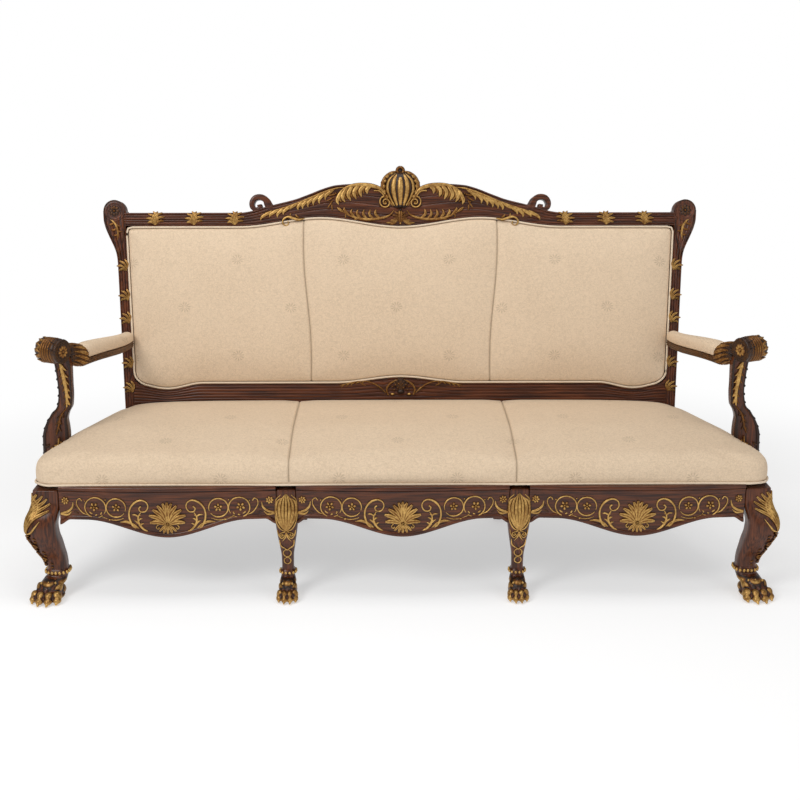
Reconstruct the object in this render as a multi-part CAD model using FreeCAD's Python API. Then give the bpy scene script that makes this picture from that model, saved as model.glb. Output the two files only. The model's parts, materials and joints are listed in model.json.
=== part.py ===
# An open-arm sofa with a carved show-wood frame, cabriole front legs and an upholstered seat and back.
# Millimetres: X runs along the sofa, Y from front to back, Z up from the floor.
# Pieces are drawn with the front rail's face at Y 0, and the finished sofa is centred on its footprint.
# A paired piece is drawn on the +X side, which is the sitter's left, and mirrored to the other side.

import FreeCAD, Part
import math
import os

Vector = FreeCAD.Vector

# Seat frame
seat_width = 2070.0
seat_depth = 540.0
rail_top = 336.0
rail_thick = 32.0
apron_end_height = 97.0
apron_mid_height = 148.0
apron_droop_half = 225.0
bracket_drop = 16.0
bracket_length = 30.0
bay_bulge = 14.0
side_rail_height = 96.0
side_rail_rise = 14.0
bead_height = 14.0
bead_proud = 6.0
rear_rail_height = 90.0
tenon_thick = 12.0
tenon_length = 22.0
tenon_shoulder = 14.0
tenon_clearance = 0.2
joint_overrun = 6.0

# Front legs
outer_block = 74.0
inner_block = 57.0
inner_leg_x = 327.0
block_proud = 3.0
glide_height = 3.0
glide_radius = 13.0
outer_ankle = 53.0
outer_knee = 87.0
outer_knee_height = 214.0
outer_knee_reach = 20.0
outer_paw_width = 98.0
outer_paw_length = 116.0
inner_ankle = 34.0
inner_knee = 68.0
inner_knee_height = 231.0
inner_knee_reach = 12.0
inner_paw_width = 64.0
inner_paw_length = 92.0
ankle_height = 88.0
collar_height = 66.0
collar_thick = 12.0
collar_proud = 5.0
paw_height = 40.0
paw_reach = 0.38
toe_radius = 15.0
toe_count = 4

# Back frame: heights run up the raked back from its foot line
back_foot_height = 450.0
back_rake = 11.1
back_half_foot = 869.0
back_half_top = 886.0
stile_width = 31.0
frame_depth = 45.0
lip_width = 18.0
lip_depth = 20.0
top_edge_height = 577.0
top_edge_crown = 665.0
top_shoulder_x = 402.0
top_shoulder_height = 600.0
crown_x = 150.0
crest_middle_height = 650.0
field_top_height = 535.0
field_top_rise = 28.0
field_top_rise_x = 250.0
field_top_rise_half = 250.0
field_foot_height = 42.0
field_foot_rise = 19.0
field_foot_dip = 18.0
field_foot_dip_x = 733.0
field_foot_dip_half = 110.0
field_foot_rise_half = 205.0
field_corner = 34.0
lower_rail_foot = -25.0
crest_volute_x = 448.0
crest_volute_height = 608.0
crest_volute_radius = 26.0
ear_x = 893.0
ear_height = 583.0
ear_radius = 34.5
ear_proud = 4.0
ear_neck_height = 461.0
rear_post_top_run = 90.0
rear_leg_width = 44.0
rear_leg_foot = 38.0
rear_leg_sweep = 118.0
upright_x = 292.0
upright_width = 44.0
upright_depth = 18.0

# Arms
arm_height = 655.0
arm_rear_height = 628.0
arm_wood_width = 50.0
arm_wood_thick = 22.0
arm_taper = 21.0
arm_front_y = 205.0
arm_front_x = 930.0
arm_roll_x = 985.0
arm_roll_y = 136.0
arm_roll_height = 693.0
arm_roll_radius = 35.0
arm_roll_length = 74.0
arm_roll_turn = 29.0
arm_roll_ridges = 4
arm_ridge_proud = 2.5
arm_collar_width = 62.0
arm_collar_height = 60.0
support_foot_y = 176.0
support_foot_width = 76.0
support_waist = 38.0
support_waist_height = 575.0
support_depth = 44.0
support_lap = 46.0

# Arm pads
arm_pad_width = 60.0
arm_pad_front_thick = 42.0
arm_pad_rear_thick = 30.0

# Upholstery
seat_side_height = 60.0
seat_crown_height = 106.0
seat_rear_height = 104.0
seat_seam_front_x = 313.0
seat_seam_rear_x = 316.0
seam_depth = 5.0
cover_thick = 3.0
back_edge_proud = 4.0
back_crown = 24.0
back_seam_top_x = 302.0
back_seam_foot_x = 281.0
piping_size = 6.0
piping_sunk = 1.5
web_width = 50.0
web_thick = 2.0
web_gap = 32.0
dust_cover_thick = 1.2
outside_cover_thick = 2.0
outside_cover_lap = 12.0
gimp_width = 9.0
gimp_thick = 3.0
fit_gap = 0.3
pad_gap = 1.2

# Corner blocks, braces and fasteners
block_leg = 78.0
block_height = 44.0
block_foot = 248.0
brace_width = 34.0
screw_radius = 2.4
screw_head_radius = 4.6
screw_head_thick = 2.6
screw_length = 38.0
tack_radius = 4.0
tack_thick = 1.0
tack_pitch = 120.0

# Carved ornaments
scallop_cut = 0.22
shell_lobes = 7
shell_width = 128.0
shell_height = 112.0
shell_foot_half = 32.0
shell_foot_height = 592.0
shell_thick = 22.0
shell_knob_radius = 13.0
crest_leaf_length = 210.0
crest_leaf_width = 34.0
crest_leaf_thick = 12.0
crest_inner_volute_x = 41.0
crest_inner_volute_height = 594.0
crest_inner_volute_radius = 22.0
palmette_width = 116.0
palmette_height = 58.0
palmette_foot_half = 12.0
palmette_foot_height = 262.0
palmette_thick = 12.0
palmette_lobes = 9
knee_shell_width = 76.0
knee_shell_height = 92.0
knee_shell_foot_half = 12.0
knee_shell_thick = 16.0
knee_shell_lean = 14.0
knee_shell_seat = 1.22
bud_width = 52.0
bud_height = 92.0
bud_foot_half = 14.0
bud_thick = 16.0
bud_lean = 5.0
bud_lobes = 5
cartouche_width = 92.0
cartouche_height = 48.0
cartouche_foot_half = 20.0
cartouche_thick = 16.0
cartouche_lobes = 5
rosette_petals = 8
ear_rosette_radius = 20.0
arm_rosette_radius = 21.0

nodes = {}


def keep(name, shape):
    nodes[name] = shape


def mirrored(shape):
    return shape.mirror(Vector(0, 0, 0), Vector(1, 0, 0))


def keep_pair(name, shape):
    keep(name + "_right", shape)
    keep(name + "_left", mirrored(shape))


def with_mirror(shape):
    return Part.makeCompound([shape, mirrored(shape)])


def box(x0, x1, y0, y1, z0, z1):
    return Part.makeBox(x1 - x0, y1 - y0, z1 - z0, Vector(x0, y0, z0))


def line(a, b):
    return Part.LineSegment(a, b).toShape()


def arc(a, middle, b):
    return Part.Arc(a, middle, b).toShape()


def curve(points):
    spline = Part.BSplineCurve()
    spline.interpolate(points)
    return spline.toShape()


def chain(points):
    return [line(a, b) for a, b in zip(points, points[1:])]


def plate(edges, push):
    return Part.Face(Part.Wire(Part.__sortEdges__(edges))).extrude(push)


def smooth(t):
    t = max(0.0, min(1.0, t))
    return t * t * (3.0 - 2.0 * t)


def bump(x, centre, half):
    # A smooth hill one unit high, falling to nothing at half on both sides.
    return smooth(1.0 - abs(x - centre) / half)


# A rounded rectangle in the plane of two unit directions.
def rounded_loop(centre, across, up, wide, tall, radius):
    radius = min(radius, 0.48 * min(wide, tall))
    inset = radius * (1.0 - math.sqrt(0.5))
    corners = [(1, 1), (-1, 1), (-1, -1), (1, -1)]
    edges = []
    points = []
    for index, (sx, sy) in enumerate(corners):
        side = across * (sx * (wide / 2 - radius)) + up * (sy * tall / 2)
        end = across * (sx * wide / 2) + up * (sy * (tall / 2 - radius))
        middle = across * (sx * (wide / 2 - inset)) + up * (sy * (tall / 2 - inset))
        order = (end, middle, side) if index % 2 == 0 else (side, middle, end)
        points.append([centre + p for p in order])
    for index, (start, middle, end) in enumerate(points):
        edges.append(arc(start, middle, end))
        edges.append(line(end, points[(index + 1) % 4][0]))
    return Part.Wire(edges)


def level_loop(x, y, z, wide, deep, radius):
    return rounded_loop(Vector(x, y, z), Vector(1, 0, 0), Vector(0, 1, 0), wide, deep, radius)


def cylinder(centre, direction, radius, length):
    start = centre - direction * (length / 2)
    return Part.makeCylinder(radius, length, start, direction)


# A shell carved in low relief against an upright plane: scallops round a foot, drawn in towards the front.
def scallop_wire(foot, foot_half, width, height, lobes, spread, scale, depth):
    reach = width / 2 / math.sin(math.radians(min(spread, 90.0)))
    valley = 1.0 - scallop_cut * math.radians(2.0 * spread / lobes)

    def rim(share, lift):
        angle = math.radians(spread) * share
        return foot + Vector(scale * lift * reach * math.sin(angle), depth, scale * lift * height * math.cos(angle))

    edges = []
    for index in range(lobes):
        start = 2.0 * index / lobes - 1.0
        end = start + 2.0 / lobes
        edges.append(arc(rim(start, valley), rim((start + end) / 2, 1.0), rim(end, valley)))
    right = foot + Vector(scale * foot_half, depth, 0)
    left = foot + Vector(-scale * foot_half, depth, 0)
    edges += chain([rim(1.0, valley), right, left, rim(-1.0, valley)])
    return Part.Wire(edges)


def scallop(foot, foot_half, width, height, lobes, spread, thick, sunk=0.0):
    steps = ((1.0, sunk), (0.96, -0.4 * thick), (0.8, -0.8 * thick), (0.5, -thick))
    wires = [scallop_wire(foot, foot_half, width, height, lobes, spread, k, d) for k, d in steps]
    return Part.makeLoft(wires, True, True)


def fused(shapes):
    return shapes[0].fuse(shapes[1:]).removeSplitter()


# Where the raked back stands
def back_y(height):
    return seat_depth + (height - back_foot_height) * math.tan(math.radians(back_rake))


# Takes a shape drawn upright, with its height from the back's foot line, to the raked back.
def on_back(shape):
    turned = shape.rotated(Vector(0, 0, 0), Vector(1, 0, 0), -back_rake)
    return turned.translated(Vector(0, seat_depth, back_foot_height))


def stile_outer(height):
    share = height / ear_neck_height
    return back_half_foot + (back_half_top - back_half_foot) * share


def stile_inner(height):
    return stile_outer(height) - stile_width


# Height of the upholstered field's top and bottom edges at a place along the back
def field_top(x):
    return field_top_height + field_top_rise * bump(abs(x), field_top_rise_x, field_top_rise_half)


def field_foot(x):
    middle = field_foot_rise * bump(x, 0.0, field_foot_rise_half)
    dip = field_foot_dip * bump(abs(x), field_foot_dip_x, field_foot_dip_half)
    return field_foot_height + middle - dip


def edge_points(height_at, x0, x1, count, depth, offset=0.0):
    step = (x1 - x0) / (count - 1)
    return [Vector(x0 + step * i, depth, height_at(x0 + step * i) + offset) for i in range(count)]


# The outline of the upholstered field, grown outward by a margin
def field_outline(margin, depth):
    half_top = stile_inner(field_top_height) + margin
    top = edge_points(field_top, -half_top, half_top, 17, depth, margin)
    corner = max(1.0, field_corner + margin)
    half_side = stile_inner(field_foot_height + field_corner) + margin
    foot_x = half_side - corner
    foot = edge_points(field_foot, foot_x, -foot_x, 25, depth, -margin)
    side_height = foot[0].z + corner
    inset = corner * (1.0 - math.sqrt(0.5))
    right = [
        line(top[-1], Vector(half_side, depth, side_height)),
        arc(
            Vector(half_side, depth, side_height),
            Vector(half_side - inset, depth, side_height - corner + inset),
            foot[0],
        ),
    ]
    left = [
        arc(
            foot[-1],
            Vector(-half_side + inset, depth, side_height - corner + inset),
            Vector(-half_side, depth, side_height),
        ),
        line(Vector(-half_side, depth, side_height), top[0]),
    ]
    return [curve(top)] + right + [curve(foot)] + left


def field_plate(margin, depth, thick):
    return plate(field_outline(margin, depth), Vector(0, thick, 0))


# Bottom edge of an apron, at a distance from the middle of its bay
def apron_foot(offset, half):
    droop = (apron_mid_height - apron_end_height) * bump(offset, 0.0, apron_droop_half)
    bracket = bracket_drop * smooth((abs(offset) - half + bracket_length) / bracket_length)
    return rail_top - apron_end_height - droop - bracket


def bay_face(offset, half):
    # The face of a bay bows forward in the middle.
    return -bay_bulge * (1.0 - (offset / half) ** 2)


outer_leg_x = seat_width / 2 - outer_block / 2
outer_leg_y = outer_block / 2 - block_proud
inner_leg_y = inner_block / 2 - block_proud


def bays():
    outer_end = outer_leg_x - outer_block / 2
    inner_end = inner_leg_x - inner_block / 2
    inner_start = inner_leg_x + inner_block / 2
    side_half = (outer_end - inner_start) / 2
    return {"centre": (0.0, inner_end), "right": (inner_start + side_half, side_half)}


def make_apron(middle, half):
    xs = [middle - half + 2 * half * i / 8 for i in range(9)]
    face = [Vector(x, bay_face(x - middle, half), 0) for x in xs]
    rear = [Vector(middle + half, rail_thick, 0), Vector(middle - half, rail_thick, 0)]
    plan = [curve(face)] + chain([face[-1]] + rear + [face[0]])
    body = plate(plan, Vector(0, 0, rail_top))
    count = 25
    foot = [middle - half + 2 * half * i / (count - 1) for i in range(count)]
    low = [Vector(x, -seat_depth, apron_foot(x - middle, half)) for x in foot]
    high = [Vector(middle + half, -seat_depth, rail_top), Vector(middle - half, -seat_depth, rail_top)]
    front = plate([curve(low)] + chain([low[-1]] + high + [low[0]]), Vector(0, 2 * seat_depth, 0))
    board = body.common(front)
    bead_face = [p + Vector(0, -bead_proud, rail_top - bead_height) for p in face]
    bead_rear = [p + Vector(0, -rail_thick / 2, rail_top - bead_height) for p in rear]
    bead = plate([curve(bead_face)] + chain([bead_face[-1]] + bead_rear + [bead_face[0]]), Vector(0, 0, bead_height))
    return board.fuse(bead).removeSplitter()


def rail_tenon(x0, x1, y_middle, extra=0.0):
    low = rail_top - apron_end_height + tenon_shoulder
    high = rail_top - bead_height - tenon_shoulder
    half = tenon_thick / 2 + extra
    return box(x0 - extra, x1 + extra, y_middle - half, y_middle + half, low - extra, high + extra)


def make_paw(x, y, width, length, toe):
    toes = []
    for index in range(toe_count):
        share = 2.0 * index / (toe_count - 1) - 1.0
        toe_x = x + share * (width / 2 - toe)
        toe_y = y - length / 2 + toe * (1.0 + 0.8 * share * share)
        toes.append(Part.makeSphere(toe, Vector(toe_x, toe_y, glide_height + toe * 0.8)))
    return toes


# The front legs: a square block, a knee that swells outward, a slim ankle and a paw foot.
def make_leg(x, y, block, knee, knee_height, out, forward, ankle, paw_width, paw_length, toe):
    rail_foot = rail_top - apron_end_height
    calf_height = (knee_height + ankle_height) / 2
    calf = (knee + ankle) / 2
    rows = [
        (rail_top, 0.0, 0.0, block, block, 5.0),
        (rail_foot + 60.0, 0.0, 0.0, block, block, 5.0),
        (rail_foot + 22.0, 0.35 * out, 0.35 * forward, (block + knee) / 2, (block + knee) / 2, 10.0),
        (knee_height, out, forward, knee, knee, 0.3 * knee),
        (knee_height - 32.0, 0.85 * out, 0.9 * forward, 0.95 * knee, 0.95 * knee, 0.32 * knee),
        (calf_height - 8.0, 0.25 * out, 0.4 * forward, 0.92 * calf, 0.92 * calf, 0.36 * calf),
        (ankle_height + 16.0, -0.2 * out, 0.1 * forward, 1.03 * ankle, ankle, 0.4 * ankle),
        (collar_height, -0.3 * out, 0.0, ankle, ankle, 0.42 * ankle),
        (paw_height + 8.0, -0.1 * out, 0.12 * paw_length, 0.72 * paw_width, 0.62 * paw_length, 0.3 * paw_width),
        (0.5 * paw_height, 0.3 * out, paw_reach * paw_length, paw_width, 0.92 * paw_length, 0.38 * paw_width),
        (glide_height, 0.35 * out, paw_reach * paw_length, 0.9 * paw_width, 0.82 * paw_length, 0.38 * paw_width),
    ]
    loops = [level_loop(x + o, y - g, z, w, d, r) for z, o, g, w, d, r in rows]
    limb = Part.makeLoft(loops, True, False)
    collar_at = Vector(x - 0.3 * out, y, collar_height)
    collar = cylinder(collar_at, Vector(0, 0, 1), ankle / 2 + collar_proud, collar_thick)
    foot_x = x + 0.3 * out
    foot_y = y - paw_reach * paw_length
    below = box(x - 200, x + 200, y - 300, y + 300, -100, glide_height)
    return fused([limb, collar] + make_paw(foot_x, foot_y, paw_width, paw_length, toe)).cut(below)


def leg_glide(x, y):
    return Part.makeCylinder(glide_radius, glide_height, Vector(x, y, 0))


def rear_leg_section(z, sweep):
    # The rear legs sweep backward and taper below the seat.
    share = 1.0 - z / (rail_top - rear_rail_height)
    y = back_y(rail_top) + frame_depth / 2 + sweep * share ** 1.5
    size = rear_leg_width + (rear_leg_foot - rear_leg_width) * share
    return y, size


def make_rear_leg(x, z_top, head_y, head_depth):
    loops = []
    for share in (0.0, 0.25, 0.5, 0.75, 1.0):
        z = (rail_top - rear_rail_height) * share + glide_height * (1.0 - share)
        y, size = rear_leg_section(z, rear_leg_sweep)
        loops.append(level_loop(x, y, z, size, size, 4.0))
    loops.append(level_loop(x, head_y, z_top, rear_leg_width, head_depth, 4.0))
    return Part.makeLoft(loops, True, False)


# Plan of the side rails, which narrow the seat towards the back
side_front_y = outer_block - block_proud
side_front_x = seat_width / 2 - 3.0
side_rear_x = back_half_foot - 1.0


def side_x(y):
    share = (y - side_front_y) / (seat_depth - side_front_y)
    return side_front_x + (side_rear_x - side_front_x) * share


post_front_foot = back_y(block_foot) - 1.0
rear_rail_front = back_y(rail_top) + 4.0
rear_rail_rear = rear_rail_front + rail_thick - 4.0


def make_side_rail():
    rear_y = back_y(rail_top - rear_rail_height) + 8.0
    outer = [Vector(side_x(y), y, 0) for y in (side_front_y, rear_y)]
    inner = [Vector(side_x(y) - rail_thick, y, 0) for y in (rear_y, side_front_y)]
    plan = chain(outer + inner + [outer[0]])
    body = plate(plan, Vector(0, 0, rail_top))
    low = rail_top - side_rail_height
    middle = (side_front_y + rear_y) / 2
    far = seat_width
    side = [
        line(Vector(0, rear_y + 1, low), Vector(0, rear_y + 1, rail_top)),
        line(Vector(0, rear_y + 1, rail_top), Vector(0, side_front_y - 1, rail_top)),
        line(Vector(0, side_front_y - 1, rail_top), Vector(0, side_front_y - 1, low)),
        arc(
            Vector(0, side_front_y - 1, low),
            Vector(0, middle, low + side_rail_rise),
            Vector(0, rear_y + 1, low),
        ),
    ]
    board = body.common(plate(side, Vector(far, 0, 0)))
    bead_line = [Vector(side_x(y) + bead_proud, y, rail_top - bead_height) for y in (side_front_y, rear_y)]
    bead_back = [p + Vector(-bead_proud - rail_thick / 2, 0, 0) for p in reversed(bead_line)]
    bead = plate(chain(bead_line + bead_back + [bead_line[0]]), Vector(0, 0, bead_height))
    return board.fuse(bead).removeSplitter()


def side_tenon(extra=0.0):
    x = side_x(side_front_y) - rail_thick / 2
    half = tenon_thick / 2 + extra
    low = rail_top - side_rail_height + tenon_shoulder + 10.0
    high = rail_top - bead_height - tenon_shoulder
    return box(x - half, x + half, side_front_y - tenon_length - extra, side_front_y + 2.0, low - extra, high + extra)


def make_post():
    z_low = rail_top - side_rail_height + 20.0
    drop = (back_foot_height - z_low) / math.cos(math.radians(back_rake))
    foot = -drop
    stile = [
        Vector(stile_inner(foot), 0, foot),
        Vector(stile_outer(foot), 0, foot),
        Vector(stile_outer(ear_neck_height), 0, ear_neck_height),
    ]
    neck_end = Vector(ear_x + ear_radius - 0.6, 0, ear_height - 7.0)
    neck_middle = Vector(ear_x + 0.22 * ear_radius + 3.0, 0, (ear_neck_height + ear_height) / 2 - 16.0)
    inner_top = Vector(stile_inner(ear_height), 0, ear_height)
    edges = chain(stile)
    edges.append(arc(stile[-1], neck_middle, neck_end))
    edges += chain([neck_end, inner_top, stile[0]])
    body = plate(edges, Vector(0, frame_depth, 0))
    ear_depth = frame_depth + ear_proud
    ear = Part.makeCylinder(ear_radius, ear_depth, Vector(ear_x, -ear_proud, ear_height), Vector(0, 1, 0))
    lip_x0 = stile_inner(field_foot_height) - lip_width
    lip_x1 = stile_inner(field_top_height) - lip_width
    lip_low = field_foot_height + field_corner
    lip_high = field_top_height - lip_width
    lip = plate(
        chain(
            [
                Vector(lip_x0, frame_depth - lip_depth, lip_low),
                Vector(lip_x0 + stile_width, frame_depth - lip_depth, lip_low),
                Vector(lip_x1 + stile_width, frame_depth - lip_depth, lip_high),
                Vector(lip_x1, frame_depth - lip_depth, lip_high),
                Vector(lip_x0, frame_depth - lip_depth, lip_low),
            ]
        ),
        Vector(0, lip_depth, 0),
    )
    upper = on_back(fused([body, ear, lip]))
    head_z = rail_top - side_rail_height + 60.0
    leg_x = stile_outer(-100.0) - rear_leg_width / 2
    leg = make_rear_leg(leg_x, head_z, back_y(head_z) + frame_depth / 2, frame_depth)
    return upper.fuse(leg).removeSplitter()


def post_leg_x():
    return stile_outer(-100.0) - rear_leg_width / 2


def make_crest_rail():
    end = stile_inner(field_top_height) + joint_overrun
    right = [
        Vector(end, 0, top_edge_height),
        Vector(crest_volute_x + 1.6 * crest_volute_radius, 0, top_edge_height),
        Vector(crest_volute_x, 0, top_edge_height + 6.0),
    ]
    crown = [
        Vector(crest_volute_x, 0, top_edge_height + 6.0),
        Vector(top_shoulder_x, 0, top_shoulder_height),
        Vector((top_shoulder_x + crown_x) / 2, 0, (top_shoulder_height + top_edge_crown) / 2 + 5.0),
        Vector(crown_x, 0, top_edge_crown),
        Vector(0, 0, crest_middle_height),
    ]
    left = [Vector(-p.x, 0, p.z) for p in reversed(right)]
    whole = crown + [Vector(-p.x, 0, p.z) for p in reversed(crown[:-1])]
    foot = edge_points(field_top, -end, end, 17, 0.0)
    edges = chain(right) + [curve(whole)] + chain(left) + [line(left[-1], foot[0])]
    edges += [curve(foot), line(foot[-1], right[0])]
    body = plate(edges, Vector(0, frame_depth, 0))
    volutes = []
    for side in (-1, 1):
        at = Vector(side * crest_volute_x, -ear_proud, crest_volute_height)
        volutes.append(Part.makeCylinder(crest_volute_radius, frame_depth + ear_proud, at, Vector(0, 1, 0)))
    lip_end = end - joint_overrun - lip_width
    upper = edge_points(field_top, -lip_end, lip_end, 17, frame_depth - lip_depth, 4.0)
    lower = edge_points(field_top, -lip_end, lip_end, 17, frame_depth - lip_depth, -lip_width)
    lip_edges = [curve(upper), line(upper[-1], lower[-1]), curve(lower), line(lower[0], upper[0])]
    lip = plate(lip_edges, Vector(0, lip_depth, 0))
    return fused([body, lip] + volutes)


def crest_tenon(extra=0.0):
    inner = stile_inner(field_top_height)
    low = field_top_height + 8.0
    high = top_edge_height - 8.0
    middle = frame_depth / 2
    half = tenon_thick / 2 + extra
    return box(inner - 2.0, inner + tenon_length + extra, middle - half, middle + half, low - extra, high + extra)


def make_lower_rail():
    corner_right, foot_edge, corner_left = field_outline(0.0, 0.0)[2:5]
    side_height = max(v.Point.z for v in corner_right.Vertexes)
    end_top = max(v.Point.x for v in corner_right.Vertexes)
    end_foot = end_top + joint_overrun
    rim = [
        Vector(end_top, 0, side_height),
        Vector(end_foot, 0, side_height),
        Vector(end_foot, 0, lower_rail_foot),
        Vector(-end_foot, 0, lower_rail_foot),
        Vector(-end_foot, 0, side_height),
        Vector(-end_top, 0, side_height),
    ]
    body = plate([corner_right, foot_edge, corner_left] + chain(rim), Vector(0, frame_depth, 0))
    lip_end = end_top - field_corner
    lower = edge_points(field_foot, -lip_end, lip_end, 25, frame_depth - lip_depth, -4.0)
    upper = edge_points(field_foot, -lip_end, lip_end, 25, frame_depth - lip_depth, lip_width)
    lip_edges = [curve(upper), line(upper[-1], lower[-1]), curve(lower), line(lower[0], upper[0])]
    return fused([body, plate(lip_edges, Vector(0, lip_depth, 0))])


def lower_tenon(extra=0.0):
    inner = stile_inner(0.0)
    half = tenon_thick / 2 + extra
    middle = frame_depth / 2
    low = lower_rail_foot + 8.0
    high = field_foot_height - 8.0
    return box(inner - 2.0, inner + tenon_length + extra, middle - half, middle + half, low - extra, high + extra)


def upright(x):
    half = upright_width / 2
    low = field_foot(x) + lip_width
    high = field_top(x) - lip_width
    return box(x - half, x + half, frame_depth - upright_depth, frame_depth, low, high)


def upright_tongue(x, extra=0.0):
    low = field_foot(x) + lip_width - tenon_length / 2
    high = field_top(x) - lip_width + tenon_length / 2
    middle = frame_depth - upright_depth / 2
    half = tenon_thick / 4 + extra
    side = upright_width / 3 + extra
    return box(x - side, x + side, middle - half, middle + half, low - extra, high + extra)


# The arms run forward from the posts, turn outward and end in a roll.
def arm_line(share):
    # Plan centre, direction and underside height at a share of the way from the post to the collar.
    rear = Vector(post_front_x(), back_y(arm_rear_height), 0)
    front = Vector(arm_front_x, arm_front_y, 0)
    x = rear.x + (front.x - rear.x) * share ** 1.7
    y = rear.y + (front.y - rear.y) * share
    z = arm_rear_height + (arm_height - arm_rear_height) * smooth(share)
    slope = 1.7 * (front.x - rear.x) * max(share, 0.02) ** 0.7 / (front.y - rear.y)
    direction = Vector(-slope, -1, 0)
    direction.normalize()
    return Vector(x, y, z), direction


def post_front_x():
    height = (arm_rear_height - back_foot_height) / math.cos(math.radians(back_rake))
    return (stile_outer(height) + stile_inner(height)) / 2 - 1.0


def arm_section(share, base, wide, tall, radius):
    at, direction = arm_line(share)
    across = Vector(-direction.y, direction.x, 0)
    up = Vector(0, 0, 1)
    return rounded_loop(at + up * (base + tall / 2), across, up, wide, tall, radius)


roll_axis = Vector(-math.cos(math.radians(arm_roll_turn)), -math.sin(math.radians(arm_roll_turn)), 0)


def make_roll(centre):
    # The hand roll: a flat inner end for the rosette, ridges round the outer half and a domed outer end.
    radius = arm_roll_radius
    start = -arm_roll_length / 2
    ridge = arm_roll_length / 8
    edges = [arc(Vector(0, 0, start - 0.3 * radius), Vector(0.62 * radius, 0, start - 0.2 * radius), Vector(radius, 0, start))]
    at = Vector(radius, 0, start)
    for index in range(arm_roll_ridges):
        end = at + Vector(0, 0, ridge)
        edges.append(arc(at, at + Vector(arm_ridge_proud, 0, ridge / 2), end))
        at = end
    corner = Vector(radius, 0, -start)
    edges += chain([at, corner, Vector(0, 0, -start), Vector(0, 0, start - 0.3 * radius)])
    body = Part.Face(Part.Wire(edges)).revolve(Vector(0, 0, 0), Vector(0, 0, 1), 360)
    body.Placement = FreeCAD.Placement(centre, FreeCAD.Rotation(Vector(0, 0, 1), roll_axis))
    return body


def make_arm():
    shares = (0.0, 0.25, 0.5, 0.75, 1.0)
    wood = []
    for share in shares:
        wide = arm_wood_width - arm_taper * (1.0 - share)
        wood.append(arm_section(share, -arm_wood_thick, wide, arm_wood_thick, 6.0))
    bar = Part.makeLoft(wood, True, False)
    end, direction = arm_line(1.0)
    across = Vector(-direction.y, direction.x, 0)
    up = Vector(0, 0, 1)
    roll = Vector(arm_roll_x, arm_roll_y, arm_roll_height)
    centre_z = end.z - arm_wood_thick + arm_collar_height / 2
    collar_at = Vector(end.x, end.y, centre_z)
    toward = roll - collar_at
    neck = Part.makeLoft(
        [
            rounded_loop(collar_at, across, up, arm_collar_width, arm_collar_height, 18.0),
            rounded_loop(collar_at + toward * 0.3, across, up, arm_collar_width - 6.0, arm_collar_height, 20.0),
            rounded_loop(collar_at + toward * 0.62, across, up, arm_collar_width - 16.0, arm_collar_height - 14.0, 18.0),
            rounded_loop(collar_at + toward * 0.9, across, up, arm_collar_width - 18.0, arm_collar_height - 16.0, 18.0),
        ],
        True,
        False,
    )
    return fused([bar, neck, make_roll(roll)])


def arm_tenon(extra=0.0):
    at = arm_line(0.0)[0]
    half = tenon_thick / 2 + extra
    z = at.z - arm_wood_thick / 2
    tall = 6.0 + extra
    return box(at.x - half, at.x + half, at.y - 6.0, at.y + tenon_length + extra, z - tall, z + tall)


def make_support():
    x = side_x(support_foot_y)
    top_z = arm_roll_height - 0.6 * arm_roll_radius
    waist_x = arm_roll_x - 26.0
    rows = [
        (top_z + 12.0, arm_roll_x - 16.0, arm_roll_y + 16.0, 46.0, support_depth),
        (top_z - 24.0, arm_roll_x - 25.0, arm_roll_y + 22.0, 44.0, support_depth),
        (support_waist_height, waist_x, arm_roll_y + 28.0, support_waist, support_depth - 4.0),
        (support_waist_height - 50.0, waist_x + 6.0, arm_roll_y + 33.0, support_waist + 3.0, support_depth - 2.0),
        (support_waist_height - 95.0, x - 4.0, support_foot_y, 0.75 * support_foot_width, support_depth),
        (support_waist_height - 140.0, x + 2.0, support_foot_y, support_foot_width, support_depth + 4.0),
        (rail_top + 30.0, x + 4.0, support_foot_y, support_foot_width - 4.0, support_depth + 6.0),
        (rail_top, x + 4.0, support_foot_y, support_foot_width - 10.0, support_depth + 6.0),
        (rail_top - support_lap, x + 4.0, support_foot_y, support_foot_width - 22.0, support_depth),
    ]
    return Part.makeLoft([level_loop(cx, cy, z, w, d, 9.0) for z, cx, cy, w, d in rows], True, False)


def make_arm_pad():
    loops = []
    for share, shrink in ((0.02, 0.62), (0.10, 0.92), (0.35, 1.0), (0.70, 1.0), (0.93, 0.96), (0.985, 0.8)):
        thick = arm_pad_rear_thick + (arm_pad_front_thick - arm_pad_rear_thick) * share
        wide = (arm_pad_width - arm_taper * (1.0 - share)) * (0.5 + 0.5 * shrink)
        at, direction = arm_line(share)
        across = Vector(-direction.y, direction.x, 0)
        loops.append(crowned_loop(at + Vector(0, 0, fit_gap), across, wide, thick * shrink))
    return Part.makeLoft(loops, True, False)


def crowned_loop(base, across, wide, thick):
    # Flat underneath, with full rounded sides that draw in at the foot and a crowned top.
    up = Vector(0, 0, 1)
    half = wide / 2
    foot_r = base + across * (0.86 * half)
    foot_l = base - across * (0.86 * half)
    side_r = base + across * (0.8 * half) + up * (0.82 * thick)
    side_l = base - across * (0.8 * half) + up * (0.82 * thick)
    return Part.Wire(
        [
            line(foot_l, foot_r),
            arc(foot_r, base + across * half + up * (0.42 * thick), side_r),
            arc(side_r, base + up * thick, side_l),
            arc(side_l, base - across * half + up * (0.42 * thick), foot_l),
        ]
    )


seat_base = rail_top + 2 * web_thick + fit_gap


# The seat: three sewn panels over one crowned pad, shaped by sections across the sofa from front to back.
def seat_profile_height(share):
    front = seat_side_height + 14.0
    rise = smooth(share / 0.45)
    fall = smooth((share - 0.6) / 0.4)
    return front + (seat_crown_height - front) * rise - (seat_crown_height - seat_rear_height) * fall


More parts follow.
